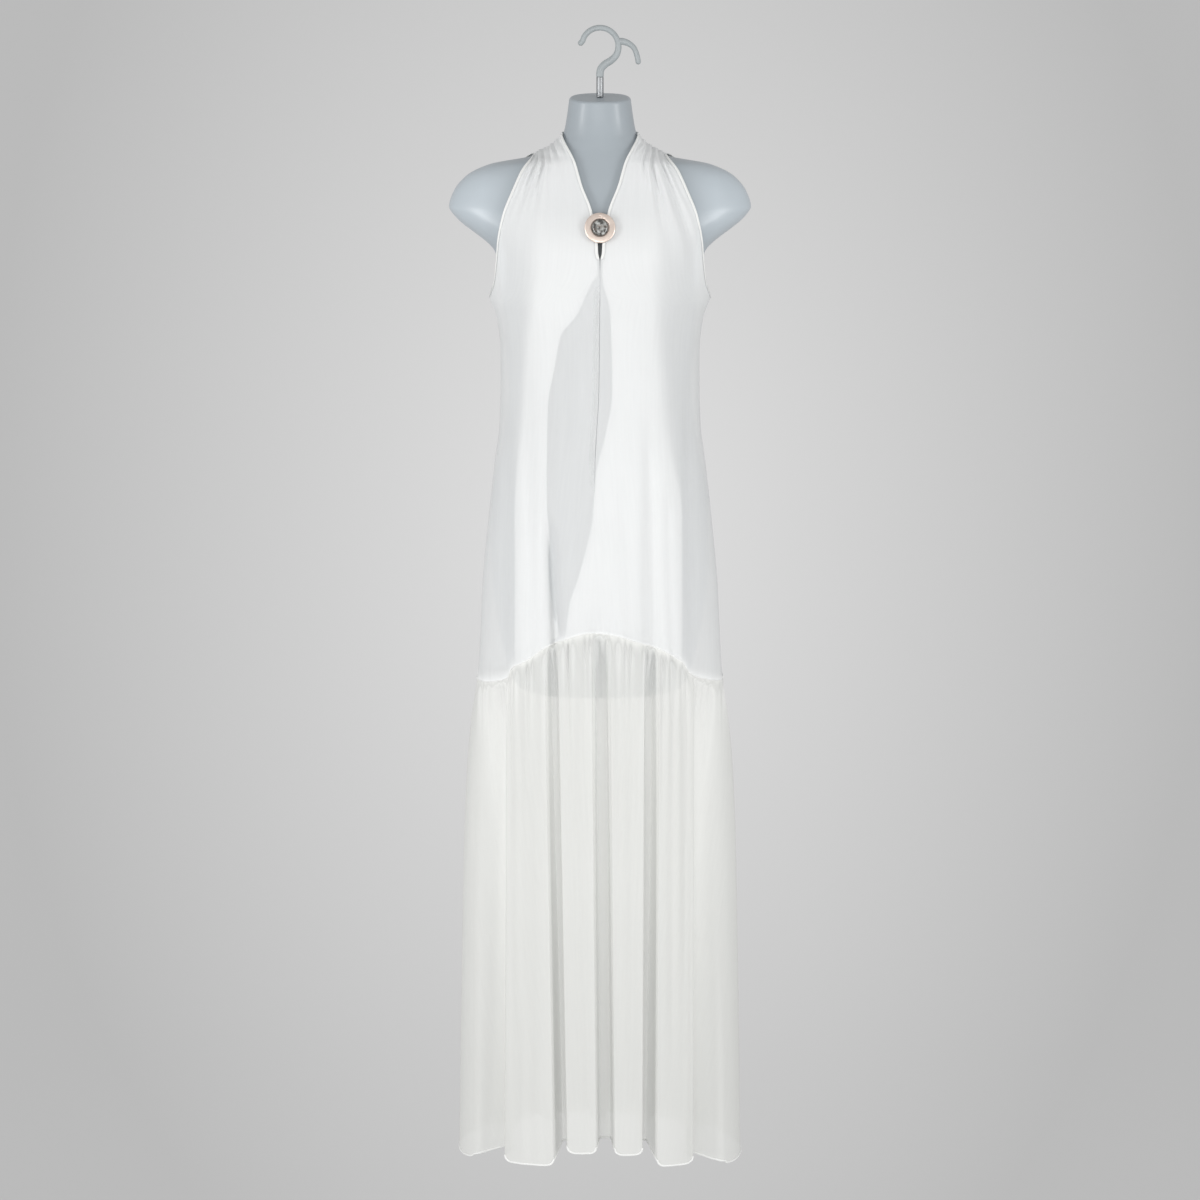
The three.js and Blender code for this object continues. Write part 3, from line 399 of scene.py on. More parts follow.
def shoulder_relief(u, v, hand):
    """Relief of the shoulder gathers: a low even wave with ridges beside each listed trough, fading down the
    rows and towards both edges."""
    edge = np.sqrt(np.sin(np.pi * np.clip(u, 0.02, 0.98)))
    wave = 0.5 - 0.5 * np.cos(2 * np.pi * 8 * u + 0.5 * np.sin(5 * v))
    fade = (1 - smooth((v - 0.1) / 0.6)) * edge
    rows = SHOULDER_GATHERS[hand]
    off = (u[..., None] - rows["at"] - rows["drift"] * v[..., None]) / (rows["wide"] * (0.8 + v[..., None]))
    reach = 1 - smooth((v[..., None] - 0.25 * rows["end"]) / (0.75 * rows["end"]))
    trough = (rows["deep"] * np.exp(-off**2) * reach).sum(axis=-1) * edge
    ridge = (rows["deep"] * np.exp(-((np.abs(off) - 1.7) ** 2)) * reach).sum(axis=-1) * edge
    return np.maximum(0.0026 * fade * (0.55 + 0.4 * wave) + 1.0 * ridge - 1.5 * trough, -0.0011)


def upper_front(u, v, hand, out=0.0):
    """Front above the underarm. u: 0 centre, 1 armhole; v: 0 shoulder, 1 underarm; hand: -1 left of the
    view.

    Each row runs between the neckline's and the armhole's table points, follows the shoulder line and
    carries the shoulder gathers.
    """
    u, v = np.broadcast_arrays(u, v)
    cx, cz, sx, sz = (along(FRONT, "v", name, v) for name in ("cx", "cz", "sx", "sz"))
    x = lerp(cx, sx, lerp(u, np.sin(u * np.pi / 2), smooth(v)))
    share = (x - cx) / (sx - cx)
    drop = lerp(shoulder_line(cx) - cz, shoulder_line(sx) - sz, share)
    z = shoulder_line(x) - np.where(v <= 0, 0, np.maximum(drop, 0.0001))
    point = cloth_point(np.maximum(x, SEAM_GAP / 2), z, -1, out + shoulder_relief(u, v, hand))
    point[..., 0] *= hand
    return point


def lower_front(u, t, hand, out=0.0):
    """Front from the underarm (t 0) to the arched seam (t 1), between the drifting centre seam and
    the side seam."""
    u, t = np.broadcast_arrays(u, t)
    turn = np.sin(u * np.pi / 2)

    def across(z):
        parted = hand * SEAM_GAP / 2 * smooth((z + 0.640) / 0.060)
        return lerp(along(CENTRE_SEAM, "z", "x", z) + parted, hand * cloth_section(z)[0], turn)

    z = lerp(UNDERARM, -0.860, t)
    for _ in range(6):
        z = lerp(UNDERARM, arch(across(z)), t)
    x = across(z)
    seam = arch(x)
    creases = bodice_creases(x, z) * smooth(t / 0.1)
    deep = bodice_valley(FRONT_VALLEYS, seam, x, z) + seam_pucker(x, z - seam) + creases
    return cloth_point(x, z, -1, out - deep)


def front_point(u, s, hand, out=0.0):
    """Whole front. s runs from 0 at the shoulder through 1 at the underarm to 2 at the arched seam."""
    u, s = np.broadcast_arrays(u, s)
    above = upper_front(u, np.clip(s, 0, 1), hand, out)
    below = lower_front(u, np.clip(s - 1, 0, 1), hand, out)
    return np.where(s[..., None] <= 1, above, below)


def upper_back(u, v, out=0.0):
    """Back above the underarm, cut in one. u: -1 to 1 between the armholes; its top edge holds the
    neck scoop."""
    u, v = np.broadcast_arrays(u, v)
    size = np.abs(u)
    neck = np.clip(size / 0.5, 0, 1)
    past_neck = lerp(NECK_HALF, SHOULDER_TIP, 2 * size - 1)
    top_x = np.where(size < 0.5, NECK_HALF * np.sin(neck * np.pi / 2), past_neck)
    scoop = np.where(size < 0.5, BACK_NECK_DROP * np.cos(neck * np.pi / 2) ** 2, 0)
    sx, sz = along(BACK_ARMHOLE, "v", "x", v), along(BACK_ARMHOLE, "v", "z", v)
    x = sx * lerp(top_x / SHOULDER_TIP, np.sin(size * np.pi / 2), smooth(v / 0.6))
    line = shoulder_line(x) - scoop
    z = lerp(line, np.minimum(sz, line - 0.00005), np.where(v <= 0, 0, np.clip(v / 0.42, 0, 1) ** 0.8))
    place = np.clip(2 * size - 1, 0, 1)
    left, right = (shoulder_relief(place, 0 * v, hand) for hand in (-1, 1))
    joined = np.where(u < 0, left, right) * (size >= 0.5)
    wave = 0.5 - 0.5 * np.cos(2 * np.pi * 7 * place + 3 * u)
    own = 0.0022 * wave * np.sqrt(np.sin(np.pi * place).clip(0)) * (1 - smooth((v - 0.1) / 0.6))
    return cloth_point(np.sign(u) * x, z, 1, out + lerp(joined, own, smooth(v / 0.12)))


def back_point(u, s, out=0.0):
    """Whole back. s runs from 0 at the shoulders through 1 at the underarm to 2 at the back seam."""
    u, s = np.broadcast_arrays(u, s)
    t = np.clip(s - 1, 0, 1)
    z = lerp(UNDERARM, -0.900, t)
    for _ in range(4):
        x = cloth_section(z)[0] * np.sin(u * np.pi / 2)
        z = lerp(UNDERARM, back_seam(x), t)
    seam = back_seam(x)
    deep = bodice_valley(BACK_VALLEYS, seam, x, z) + seam_pucker(x + BACK_PUCKER_SHIFT, z - seam)
    below = cloth_point(x, z, 1, out - deep)
    return np.where(s[..., None] <= 1, upper_back(u, np.clip(s, 0, 1), out), below)


def lining_point(rows, s, t):
    """Inner front panel: s across between its table's edges, t from its top to just above the arched
    seam."""
    s, t = np.broadcast_arrays(s, t)
    top = rows["z"][0]
    z = lerp(top, -0.840, t)
    for _ in range(6):
        x = lerp(along(rows, "z", "left", z), along(rows, "z", "right", z), s)
        z = lerp(top, arch(x) + 0.005, t)
    hang = 0.003 * smooth((-0.600 - z) / 0.200)
    deep = bodice_valley(FRONT_VALLEYS, arch(x), x, z) + bodice_creases(x, z)
    return cloth_point(x, z, -1, -deep - 0.0026 - hang)


def skirt_points(side, valleys, hem_lifts, creases, seam, sizes):
    """One skirt piece as rows down and columns across, with the share of its fall and its cover of each
    point.

    Columns stand at breakpoints that follow the valleys: side edge, wall, floor, wall, crown and so on.
    The depth is the deepest valley's share of its own depth there, plus the gathers, which die away
    with the fall, and the creases.
    """
    fall = np.concatenate([np.linspace(0, 0.12, 44, endpoint=False), np.linspace(0.12, 1, 96)])[:, None]
    count = len(valleys["top"])
    middle = lerp(valleys["top"], valleys["hem"], fall)
    w = cloth_section(lerp(-0.860, HEM, fall))[0]
    walls = [middle - valleys["half"] - valleys["left"], middle - valleys["half"],
             middle + valleys["half"], middle + valleys["half"] + valleys["right"]]
    inner = np.stack(walls, axis=-1).reshape(len(fall), 4 * count)
    breaks = np.concatenate([-w, inner, w], axis=1)
    spans = [(0, 30, "side")]
    for k in range(count):
        spans += [(4 * k + 1, 14, ""), (4 * k + 2, 10, ""), (4 * k + 3, 14, "")]
        spans.append((4 * k + 4, 36 if k + 1 < count else 30, "" if k + 1 < count else "side"))
    index = np.concatenate([np.full(n, first) for first, n, _ in spans] + [[4 * count]])
    part = np.concatenate([np.arange(n) / n for _, n, _ in spans] + [[1.0]])
    part = np.where(index == 0, 1 - np.cos(part * np.pi / 2), part)
    part = np.where(index == 4 * count, np.sin(part * np.pi / 2), part)
    x = lerp(breaks[:, index], breaks[:, index + 1], part)

    off = x[..., None] - middle[:, None, :]
    wall = np.where(off < 0, valleys["left"], valleys["right"])
    shares = 1 - smooth((np.abs(off) - valleys["half"]) / wall)
    near = shares.max(axis=-1)
    which = shares.argmax(axis=-1)
    fold = np.searchsorted(valleys["top"], x[0])
    beyond = (np.abs(off) - valleys["half"] - wall).min(axis=-1)
    corner = HEM_CORNER_LIFT * (1 - np.sqrt(1 - np.clip(1 - beyond / HEM_CORNER_RADIUS, 0, 1) ** 2))
    lift = lerp(hem_lifts[fold] + corner, valleys["lift"][which], near)
    side_lift = np.where(x < 0, SIDE_HEM_LIFT_LEFT, SIDE_HEM_LIFT_RIGHT)
    lift = lerp(side_lift, lift, smooth((w[-1] - np.abs(x)) / 0.055))
    z = lerp(seam(x) - SEAM_GAP, HEM + lift, fall)
    full = cloth_section(z)[0]
    left_side = lerp(-full, breaks[:, 1:2], part)
    right_side = lerp(breaks[:, -2:-1], full, part)
    x = np.where(index == 0, left_side, np.where(index == 4 * count, right_side, x))
    deepening = np.clip(0.2 * smooth(fall / 0.08) + 0.8 * fall, 0, 1)[..., None]
    deep = (shares * lerp(VALLEY_START * valleys["deep"], valleys["deep"], deepening)).max(axis=-1)

    ends = np.concatenate([-w[:, :1], middle, w[:, :1]], axis=1)
    place = (x - ends[:, fold]) / (ends[:, fold + 1] - ends[:, fold])
    number = fold * sizes.gathers_per_fold + place[0] * sizes.gathers_per_fold
    wander = 0.28 * np.sin(number * 2.3) + 0.2 * np.sin(number * 0.9 + side)
    wave = 0.5 - 0.5 * np.cos(2 * np.pi * (number + wander))
    size = 0.75 + 0.45 * uneven(np.floor(number + wander))
    length = 0.06 * (1 + 0.7 * uneven(np.floor(number + wander) + 40))
    fine = 0.5 - 0.5 * np.cos(2 * np.pi * (2.2 * number + 0.7 * np.sin(number * 1.7)))
    inner_side = np.where((fold == 0) & (place[0] < 0.5) | (fold == count) & (place[0] > 0.5), 0.3, 0.04)
    away = smooth(np.minimum(place[0], 1 - place[0]) / inner_side)
    ripple = sizes.gather_depth * lerp(0.55, 1, smooth(fall / SEWN_SHARE)) * away * (
        size * wave**2 * np.exp(-fall / np.maximum(length, 0.025)) + 0.3 * fine * np.exp(-fall / 0.03)
    )
    off = (place[..., None] - creases["at"] - creases["drift"] * fall[..., None])
    off = off * (ends[:, fold + 1] - ends[:, fold])[..., None] / creases["wide"]
    shown = smooth((fall[..., None] - creases["start"]) / 0.08) * (
        1 - smooth((fall[..., None] - creases["end"] + 0.25) / 0.25) * (creases["end"] < 1))
    here = (fold[None, :, None] == creases["fold"]) * (1 - near[..., None])
    dip = np.exp(-off**2) - 0.5 * np.exp(-((np.abs(off) - 1.8) ** 2))
    crease = (0.45 * creases["deep"] * dip * shown * here).sum(axis=-1)
    crown = np.sin(np.pi * np.clip(place, 0, 1))
    sway = (0.0012 * np.sin(5.5 * fall + 1.7 * fold) + 0.003 * fall) * crown * smooth(fall / 0.2)
    sides = (index == 0) & (part == 0) | (index == 4 * count) & (part == 1)
    sewn = lerp(seam_depth(side, x), deep + ripple + crease - sway, smooth(fall / SEWN_SHARE))
    out = np.where(sides, 0, -sewn)
    thin = (0.03 if side < 0 else 0.01) + 0.10 * np.exp(-fall / 0.12)
    cover = 0.3 * np.exp(-fall / 0.008) - 0.12 * wave**2 * np.exp(-fall / 0.04) - near * thin
    return cloth_point(x, z, side, out), np.broadcast_to(cover, x.shape)


def grid_faces(rows, columns, wrap):
    """Quads of a grid, closed across if wrap."""
    r, c = np.meshgrid(np.arange(rows - 1), np.arange(columns if wrap else columns - 1), indexing="ij")
    a = r * columns + c
    b = r * columns + (c + 1) % columns
    return np.stack([a, b, b + columns, a + columns], axis=-1).reshape(-1, 4)


def metric_uv(points):
    """UV in metres: distance along each row from its middle, and distance down each column."""
    across = np.linalg.norm(np.diff(points, axis=1), axis=-1).cumsum(axis=1)
    across = np.concatenate([np.zeros((len(points), 1)), across], axis=1)
    down = np.linalg.norm(np.diff(points, axis=0), axis=-1).cumsum(axis=0)
    down = np.concatenate([np.zeros((1, points.shape[1])), down], axis=0)
    return np.stack([across - across[:, -1:] / 2, -down], axis=-1)


def surface(name, points, material, wrap=False, caps=False, cover=None):
    """Object from a grid of points, its faces turned outwards; caps close both ends of a wrapped
    grid at a point."""
    rows, columns = points.shape[:2]
    vertices = points.reshape(-1, 3)
    faces = [grid_faces(rows, columns, wrap)]
    if caps:
        ring = np.arange(columns)
        after = (ring + 1) % columns
        base = len(vertices)
        vertices = np.concatenate([vertices, points[:1].mean(axis=1), points[-1:].mean(axis=1)])
        last = (rows - 1) * columns
        faces.append(np.stack([after, ring, np.full(columns, base)], axis=-1))
        faces.append(np.stack([last + ring, last + after, np.full(columns, base + 1)], axis=-1))
    quads = faces[0]
    start = vertices[quads[:, 0]]
    cross = np.cross(vertices[quads[:, 1]] - start, vertices[quads[:, 2]] - start)
    centre = vertices[quads].mean(axis=1)
    outward = centre - centre.mean(axis=0) if wrap else centre * (1, 1, 0)
    if (cross * outward).sum() < 0:
        faces = [part[:, ::-1] for part in faces]
    mesh = bpy.data.meshes.new(name)
    mesh.from_pydata(vertices.tolist(), [], [face for part in faces for face in part.tolist()])
    mesh.shade_smooth()
    uv = np.concatenate([metric_uv(points).reshape(-1, 2), np.zeros((2 if caps else 0, 2))])
    corners = np.empty(len(mesh.loops), dtype=np.int32)
    mesh.loops.foreach_get("vertex_index", corners)
    mesh.uv_layers.new(name="cloth").data.foreach_set("uv", uv[corners].astype(np.float32).ravel())
    if cover is not None:
        mesh.attributes.new("cover", "FLOAT", "POINT").data.foreach_set("value", np.float32(cover).ravel())
    piece = bpy.data.objects.new(name, mesh)
    bpy.context.collection.objects.link(piece)
    mesh.materials.append(material)
    return piece


def closed(name, rings, material, cover=None):
    """Object from rings of points, capped at both ends."""
    return surface(name, rings, material, wrap=True, caps=True, cover=cover)


def ride(piece, slot, *nodes):
    """Puts a piece on the one body and hides the imported parts that it stands for; slot, its finish, is not
    used.
    """
    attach(piece, "root")
    if nodes:
        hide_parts(*nodes)
    return piece


def tube(path, radius, around=10, flat=1.0):
    """Rings round a path that is nowhere upright: across it lies a level normal, and one more leans
    up."""
    tangent = np.gradient(path, axis=0)
    level = np.cross(tangent, (0, 0, 1))
    level /= np.linalg.norm(level, axis=1, keepdims=True)
    up = np.cross(level, tangent)
    up /= np.linalg.norm(up, axis=1, keepdims=True)
    a = np.linspace(0, 2 * np.pi, around, endpoint=False)[:, None, None]
    rings = path + radius * (flat * np.cos(a) * level + np.sin(a) * up)
    return rings.transpose(1, 0, 2)


def spline(points, count):
    """A smooth path through points: cubic pieces by chord length, resampled to even steps."""
    points = np.asarray(points, dtype=float)
    chord = np.concatenate([[0], np.linalg.norm(np.diff(points, axis=0), axis=1).cumsum()])
    slopes = np.gradient(points, chord, axis=0)
    at = np.linspace(0, chord[-1], 12 * count)
    i = np.clip(np.searchsorted(chord, at, side="right") - 1, 0, len(chord) - 2)
    span = (chord[i + 1] - chord[i])[:, None]
    t = ((at - chord[i]) / span[:, 0])[:, None]
    fine = cubic(t, span, points[i], points[i + 1], slopes[i], slopes[i + 1])
    length = np.concatenate([[0], np.linalg.norm(np.diff(fine, axis=0), axis=1).cumsum()])
    even = np.linspace(0, length[-1], count)
    return np.stack([np.interp(even, length, fine[:, k]) for k in range(points.shape[1])], axis=-1)


class Wire:
    """One output of a material's nodes. Arithmetic on it adds Math nodes."""

    def __init__(self, paint, socket):
        self.paint = paint
        self.socket = socket

    def maths(self, operation, first, second):
        return self.paint.node("ShaderNodeMath", {"operation": operation}, {0: first, 1: second})

    def __add__(self, other):
        return self.maths("ADD", self, other)

    __radd__ = __add__

    def __sub__(self, other):
        return self.maths("SUBTRACT", self, other)

    def __rsub__(self, other):
        return self.maths("SUBTRACT", other, self)

    def __mul__(self, other):
        return self.maths("MULTIPLY", self, other)

    __rmul__ = __mul__


class Paint:
    """A material being made round its one Principled shader."""

    def __init__(self, name):
        self.material = bpy.data.materials.new(name)
        self.material.use_nodes = True
        self.tree = self.material.node_tree
        self.shader = self.tree.nodes["Principled BSDF"]

    def node(self, kind, settings, inputs, output=0):
        """Adds a node, sets its settings, then joins or sets its sockets, and gives one of its
        outputs."""
        made = self.tree.nodes.new(kind)
        for name, value in settings.items():
            setattr(made, name, value)
        for key, value in inputs.items():
            self.join(made.inputs[key], value)
        return Wire(self, made.outputs[output])

    def join(self, socket, value):
        """Links a Wire to a socket, or sets the socket to a constant."""
        if isinstance(value, Wire):
            self.tree.links.new(value.socket, socket)
        else:
            socket.default_value = value

    def surface(self, **inputs):
        """Sets the shader's sockets, named with underscores for spaces, and gives the material."""
        for name, value in inputs.items():
            self.join(self.shader.inputs[name.replace("_", " ")], value)
        return self.material

    def place(self, kind="Object"):
        return self.node("ShaderNodeTexCoord", {}, {}, kind)

    def stretched(self, vector, scale, shift=(0.0, 0.0, 0.0)):
        return self.node("ShaderNodeMapping", {}, {"Vector": vector, "Location": shift, "Scale": scale})

    def distance(self, vector):
        """Length of a vector."""
        return self.node("ShaderNodeVectorMath", {"operation": "LENGTH"}, {0: vector}, "Value")

    def noise(self, vector, scale, detail=2.0):
        return self.node("ShaderNodeTexNoise", {}, {"Vector": vector, "Scale": scale, "Detail": detail})

    def ranged(self, value, low, high, to_low, to_high):
        inputs = {"Value": value, "From Min": low, "From Max": high, "To Min": to_low, "To Max": to_high}
        return self.node("ShaderNodeMapRange", {}, inputs)

    def mixed(self, factor, first, second):
        """Mix of two colours."""
        return self.node("ShaderNodeMix", {"data_type": "RGBA"}, {0: factor, 6: first, 7: second}, 2)

    def bump(self, height, strength, distance):
        return self.node("ShaderNodeBump", {}, {"Height": height, "Strength": strength, "Distance": distance})


def shade(colour, factor):
    """A colour with every part times a factor, ready for a socket."""
    return (*(min(1.0, part * factor) for part in colour), 1.0)


def sheer_cloth(name, colour, cover, sheen, glow):
    """Sheer crepe: fine crossed threads with slubs, a faint cloudiness, and more cover where layers
    meet. glow stands for the light that gets through the folds, most in the valleys, where the cover
    is a little less."""
    found = bpy.data.materials.get(name)
    if found:
        return found
    paint = Paint(name)
    uv = paint.place("UV")
    clouds = paint.noise(paint.place(), 9.0, 3.0)
    warp = paint.noise(paint.stretched(uv, (1500.0, 60.0, 1.0)), 1.0)
    weft = paint.noise(paint.stretched(uv, (60.0, 1500.0, 1.0)), 1.0)
    crepe = paint.noise(uv, 700.0, 3.0)
    threads = warp * 0.5 + weft * 0.5
    slubs = paint.noise(paint.stretched(uv, (260.0, 12.0, 1.0)), 1.0, 3.0)
    tone = paint.ranged(clouds * 0.5 + slubs * 0.5, 0.3, 0.7, 0.0, 1.0)
    layers = paint.node("ShaderNodeAttribute", {"attribute_name": "cover"}, {}, "Fac")
    woven = layers + (threads - 0.5) * 0.05 + (slubs - 0.5) * 0.03 + cover
    alpha = paint.node("ShaderNodeMath", {"operation": "MINIMUM"}, {0: woven, 1: 1.0})
    # Painted shade: below z -1.15 the cloth's colour darkens to 0.9 of itself by z -1.6, towards the hem.
    height = paint.node("ShaderNodeSeparateXYZ", {}, {"Vector": paint.place()}, "Z")
    cloth = paint.mixed(tone, shade(colour, 0.985), shade(colour, 1.01))
    in_valleys = paint.ranged(layers, -0.03, 0.0, 1.0, 0.0)
    return paint.surface(
        Base_Color=paint.mixed(paint.ranged(height, -1.15, -1.6, 0.0, 1.0), cloth, shade(colour, 0.9)),
        Roughness=paint.ranged(crepe, 0.3, 0.7, 0.72, 0.86),
        Alpha=alpha,
        Normal=paint.bump(threads * 0.6 + crepe * 0.4, 0.15, 0.0003),
        Sheen_Weight=sheen,
        Sheen_Roughness=0.45,
        Specular_IOR_Level=0.25,
        Emission_Color=paint.mixed(in_valleys, (0.22, 0.22, 0.22, 1), (1, 1, 1, 1)),
        Emission_Strength=glow,
    )


def dense_cloth(name, colour, rough, sheen, specular, glow=0.0, faded=False):
    """Close-woven cloth: fine threads in the bump, a faint cloudiness in the colour. glow stands for
    the light that the sheer cloth in front scatters on to it."""
    found = bpy.data.materials.get(name)
    if found:
        return found
    paint = Paint(name)
    uv = paint.place("UV")
    clouds = paint.noise(paint.place(), 14.0, 3.0)
    warp = paint.noise(paint.stretched(uv, (1600.0, 80.0, 1.0)), 1.0)
    weft = paint.noise(paint.stretched(uv, (80.0, 1600.0, 1.0)), 1.0)
    threads = warp * 0.5 + weft * 0.5
    tone = paint.ranged(clouds, 0.3, 0.7, 0.0, 1.0)
    return paint.surface(
        Base_Color=paint.mixed(tone, shade(colour, 0.96), shade(colour, 1.02)),
        Roughness=paint.ranged(threads, 0.35, 0.65, rough - 0.06, rough + 0.06),
        Normal=paint.bump(threads, 0.3, 0.0003),
        Alpha=paint.node("ShaderNodeAttribute", {"attribute_name": "cover"}, {}, "Fac") if faded else 1.0,
        Sheen_Weight=sheen,
        Specular_IOR_Level=specular,
        Emission_Color=(1, 1, 1, 1),
        Emission_Strength=glow,
    )


def form_plastic(colours):
    """Satin grey plastic: a fine moulded grain, faint mottling and rubbed smoother patches, with painted
    light that makes each shoulder stub paler and a painted shadow that darkens the chest in the slit."""
    paint = Paint("satin_form")
    here = paint.place()
    mottle = paint.noise(here, 16.0, 4.0)
    grain = paint.noise(here, 900.0, 2.0)
    rubbed = paint.noise(here, 5.0, 2.0)
    # Painted shadow: a dark patch, 0.2 of the form's colour, darkens the chest in the slit under the brooch.
    slit_painted_shadow = paint.distance(paint.stretched(here, (90.0, 0.0, 50.0), (0.0, 0.0, 14.7)))
    plastic = paint.mixed(mottle, shade(colours.form, 0.93), shade(colours.form, 1.07))
    # Painted light: the shoulder stub on each side is made 1.28 to 1.42 times paler, where |x| passes 0.09 to
    # 0.16, for the light from above.
    off = paint.distance(paint.stretched(here, (1.0, 0.0, 0.0)))
    painted_light_stubs = paint.mixed(mottle, shade(colours.form, 1.28), shade(colours.form, 1.42))
    plastic = paint.mixed(paint.ranged(off, 0.09, 0.16, 0.0, 1.0), plastic, painted_light_stubs)
    return paint.surface(
        Base_Color=paint.mixed(paint.ranged(slit_painted_shadow, 0.6, 1.1, 0.0, 1.0), shade(colours.form, 0.2), plastic),
        Roughness=paint.ranged(rubbed, 0.3, 0.7, 0.36, 0.48),
        Coat_Weight=paint.ranged(rubbed, 0.3, 0.7, 0.34, 0.22),
        Coat_Roughness=0.22,
        Normal=paint.bump(grain, 0.12, 0.0002),
    )


def hook_plastic(colours):
    """Moulded grey plastic with a fine grain and slightly worn, lighter places."""
    paint = Paint("moulded_hook")
    here = paint.place()
    grain = paint.noise(here, 1400.0, 2.0)
    wear = paint.noise(here, 90.0, 3.0)
    return paint.surface(
        Base_Color=paint.mixed(wear, shade(colours.hook, 0.9), shade(colours.hook, 1.12)),
        Roughness=paint.ranged(wear, 0.3, 0.7, 0.32, 0.46),
        Normal=paint.bump(grain, 0.15, 0.0002),
    )


def stem_metal():
    """Bright plated steel with fine turning marks round the stem."""
    paint = Paint("plated_stem")
    marks = paint.noise(paint.stretched(paint.place(), (40.0, 40.0, 2600.0)), 1.0)
    return paint.surface(
        Base_Color=paint.mixed(marks, (0.30, 0.31, 0.32, 1), (0.42, 0.43, 0.44, 1)),
        Metallic=1.0,
        Roughness=paint.ranged(marks, 0.3, 0.7, 0.40, 0.50),
        Normal=paint.bump(marks, 0.08, 0.0001),
    )


def brooch_metal(colours, name="rose_plate", tone=1.0):
    """Rose plating with fine rubbed scratches, pale on the band and darker on the bezel."""
    paint = Paint(name)
    here = paint.place()
    rub = paint.noise(paint.stretched(here, (900.0, 900.0, 260.0)), 1.0, 3.0)
    patch = paint.noise(here, 220.0, 2.0)
    return paint.surface(
        Base_Color=paint.mixed(patch, shade(colours.ring, 0.94 * tone), shade(colours.ring, 1.05 * tone)),
        Metallic=1.0,
        Roughness=paint.ranged(rub, 0.3, 0.7, 0.34, 0.46),
        Normal=paint.bump(rub, 0.06, 0.0001),
    )


def brooch_gem(colours):
    """Dark polished stone, mottled brown and pale grey; the pale grey is partly the stone's own veining and
    partly a painted reflection.
    """
    paint = Paint("dark_stone")
    here = paint.place()
    veins_and_reflection = paint.noise(here, 190.0, 5.0)
    brown = paint.noise(here, 120.0, 2.0)
    veined = paint.ranged(veins_and_reflection, 0.38, 0.66, 0.0, 1.0)
    # Painted reflection, in part: the pale grey mixed in by the veins stands for the stone's lighter
    # reflection.
    stone = paint.mixed(veined, shade(colours.stone, 0.8), (0.56, 0.57, 0.55, 1))
    return paint.surface(
        Base_Color=paint.mixed(paint.ranged(brown, 0.5, 0.75, 0.0, 0.6), stone, (0.20, 0.13, 0.09, 1)),
        Roughness=paint.ranged(veins_and_reflection, 0.3, 0.7, 0.08, 0.16),
        Coat_Weight=0.6,
        Normal=paint.bump(veins_and_reflection, 0.05, 0.0002),
    )


def studio_paper(colours):
    """Plain pale paper that glows a little as painted light, brightest in a wide soft painted pool of light
    behind the dress.
    """
    paint = Paint("studio_paper")
    fibre = paint.noise(paint.place(), 40.0, 3.0)
    far = paint.distance(paint.stretched(paint.place(), (1.0, 0.0, 0.667), (0.0, 0.0, 0.947)))
    pool = paint.ranged(far, 0.0, 1.6, 1.0, 0.0)
    return paint.surface(
        Base_Color=paint.mixed(fibre, shade(colours.floor, 0.30), shade(colours.floor, 0.31)),
        Roughness=0.95,
        Specular_IOR_Level=0.0,
        # Painted light: the glow is 1.35 of the floor colour in the pool and 0.785 of it away from the pool.
        Emission_Color=paint.mixed(pool, shade(colours.floor, 0.785), shade(colours.floor, 1.35)),
        Emission_Strength=0.75,
    )


def skirt_cloth(colours):
    return sheer_cloth("skirt_crepe", colours.skirt, colours.skirt_cover, 0.15, 0.16)


def bodice_cloth(colours):
    return sheer_cloth("bodice_crepe", colours.bodice, colours.bodice_cover, 0.15, 0.0)


def trim_cloth(colours):
    return dense_cloth("trim_satin", colours.trim, 0.5, 0.1, 0.45)


def form_rings():
    """Level rings of the form: superellipses from its table, a rounded and tilted cap, and a rounded
    base."""
    heights = np.concatenate([
        np.linspace(-0.095, -0.180, 60), np.linspace(-0.182, -0.310, 60), np.linspace(-0.316, -0.890, 64),
        np.linspace(-0.894, -0.9195, 16)])
    turn = np.linspace(np.pi / 2, 0, 9, endpoint=False)
    z = np.concatenate([-0.095 + 0.004 * np.sin(turn), heights, -0.9195 - 0.001 * np.sin(turn[::-1])])
    rounded = 0.004 * (1 - np.cos(turn))
    inset = np.concatenate([rounded, np.zeros(len(heights)), rounded[::-1]])
    w, front, behind = section(FORM, z) - inset
    a = np.linspace(0, 2 * np.pi, 144, endpoint=False)
    x = w[:, None] * np.sin(a)
    y = np.where(np.cos(a) > 0, -front[:, None], behind[:, None]) * bulge(x, w[:, None])
    tilt = math.tan(math.radians(6)) * np.clip((z + 0.112) / 0.021, 0, 1)
    return np.stack([x, y, z[:, None] + y * tilt[:, None]], axis=-1)


class DRESS_OT_form(bpy.types.Operator):
    """Make the limbless hanging form"""

    bl_idname = "dress.form"
    bl_label = "Form"

    def execute(self, context):
        form = closed("hanging_form", form_rings(), form_plastic(context.scene.dress_colours))
        ride(form, "form_plastic", "form_torso")
        return {"FINISHED"}


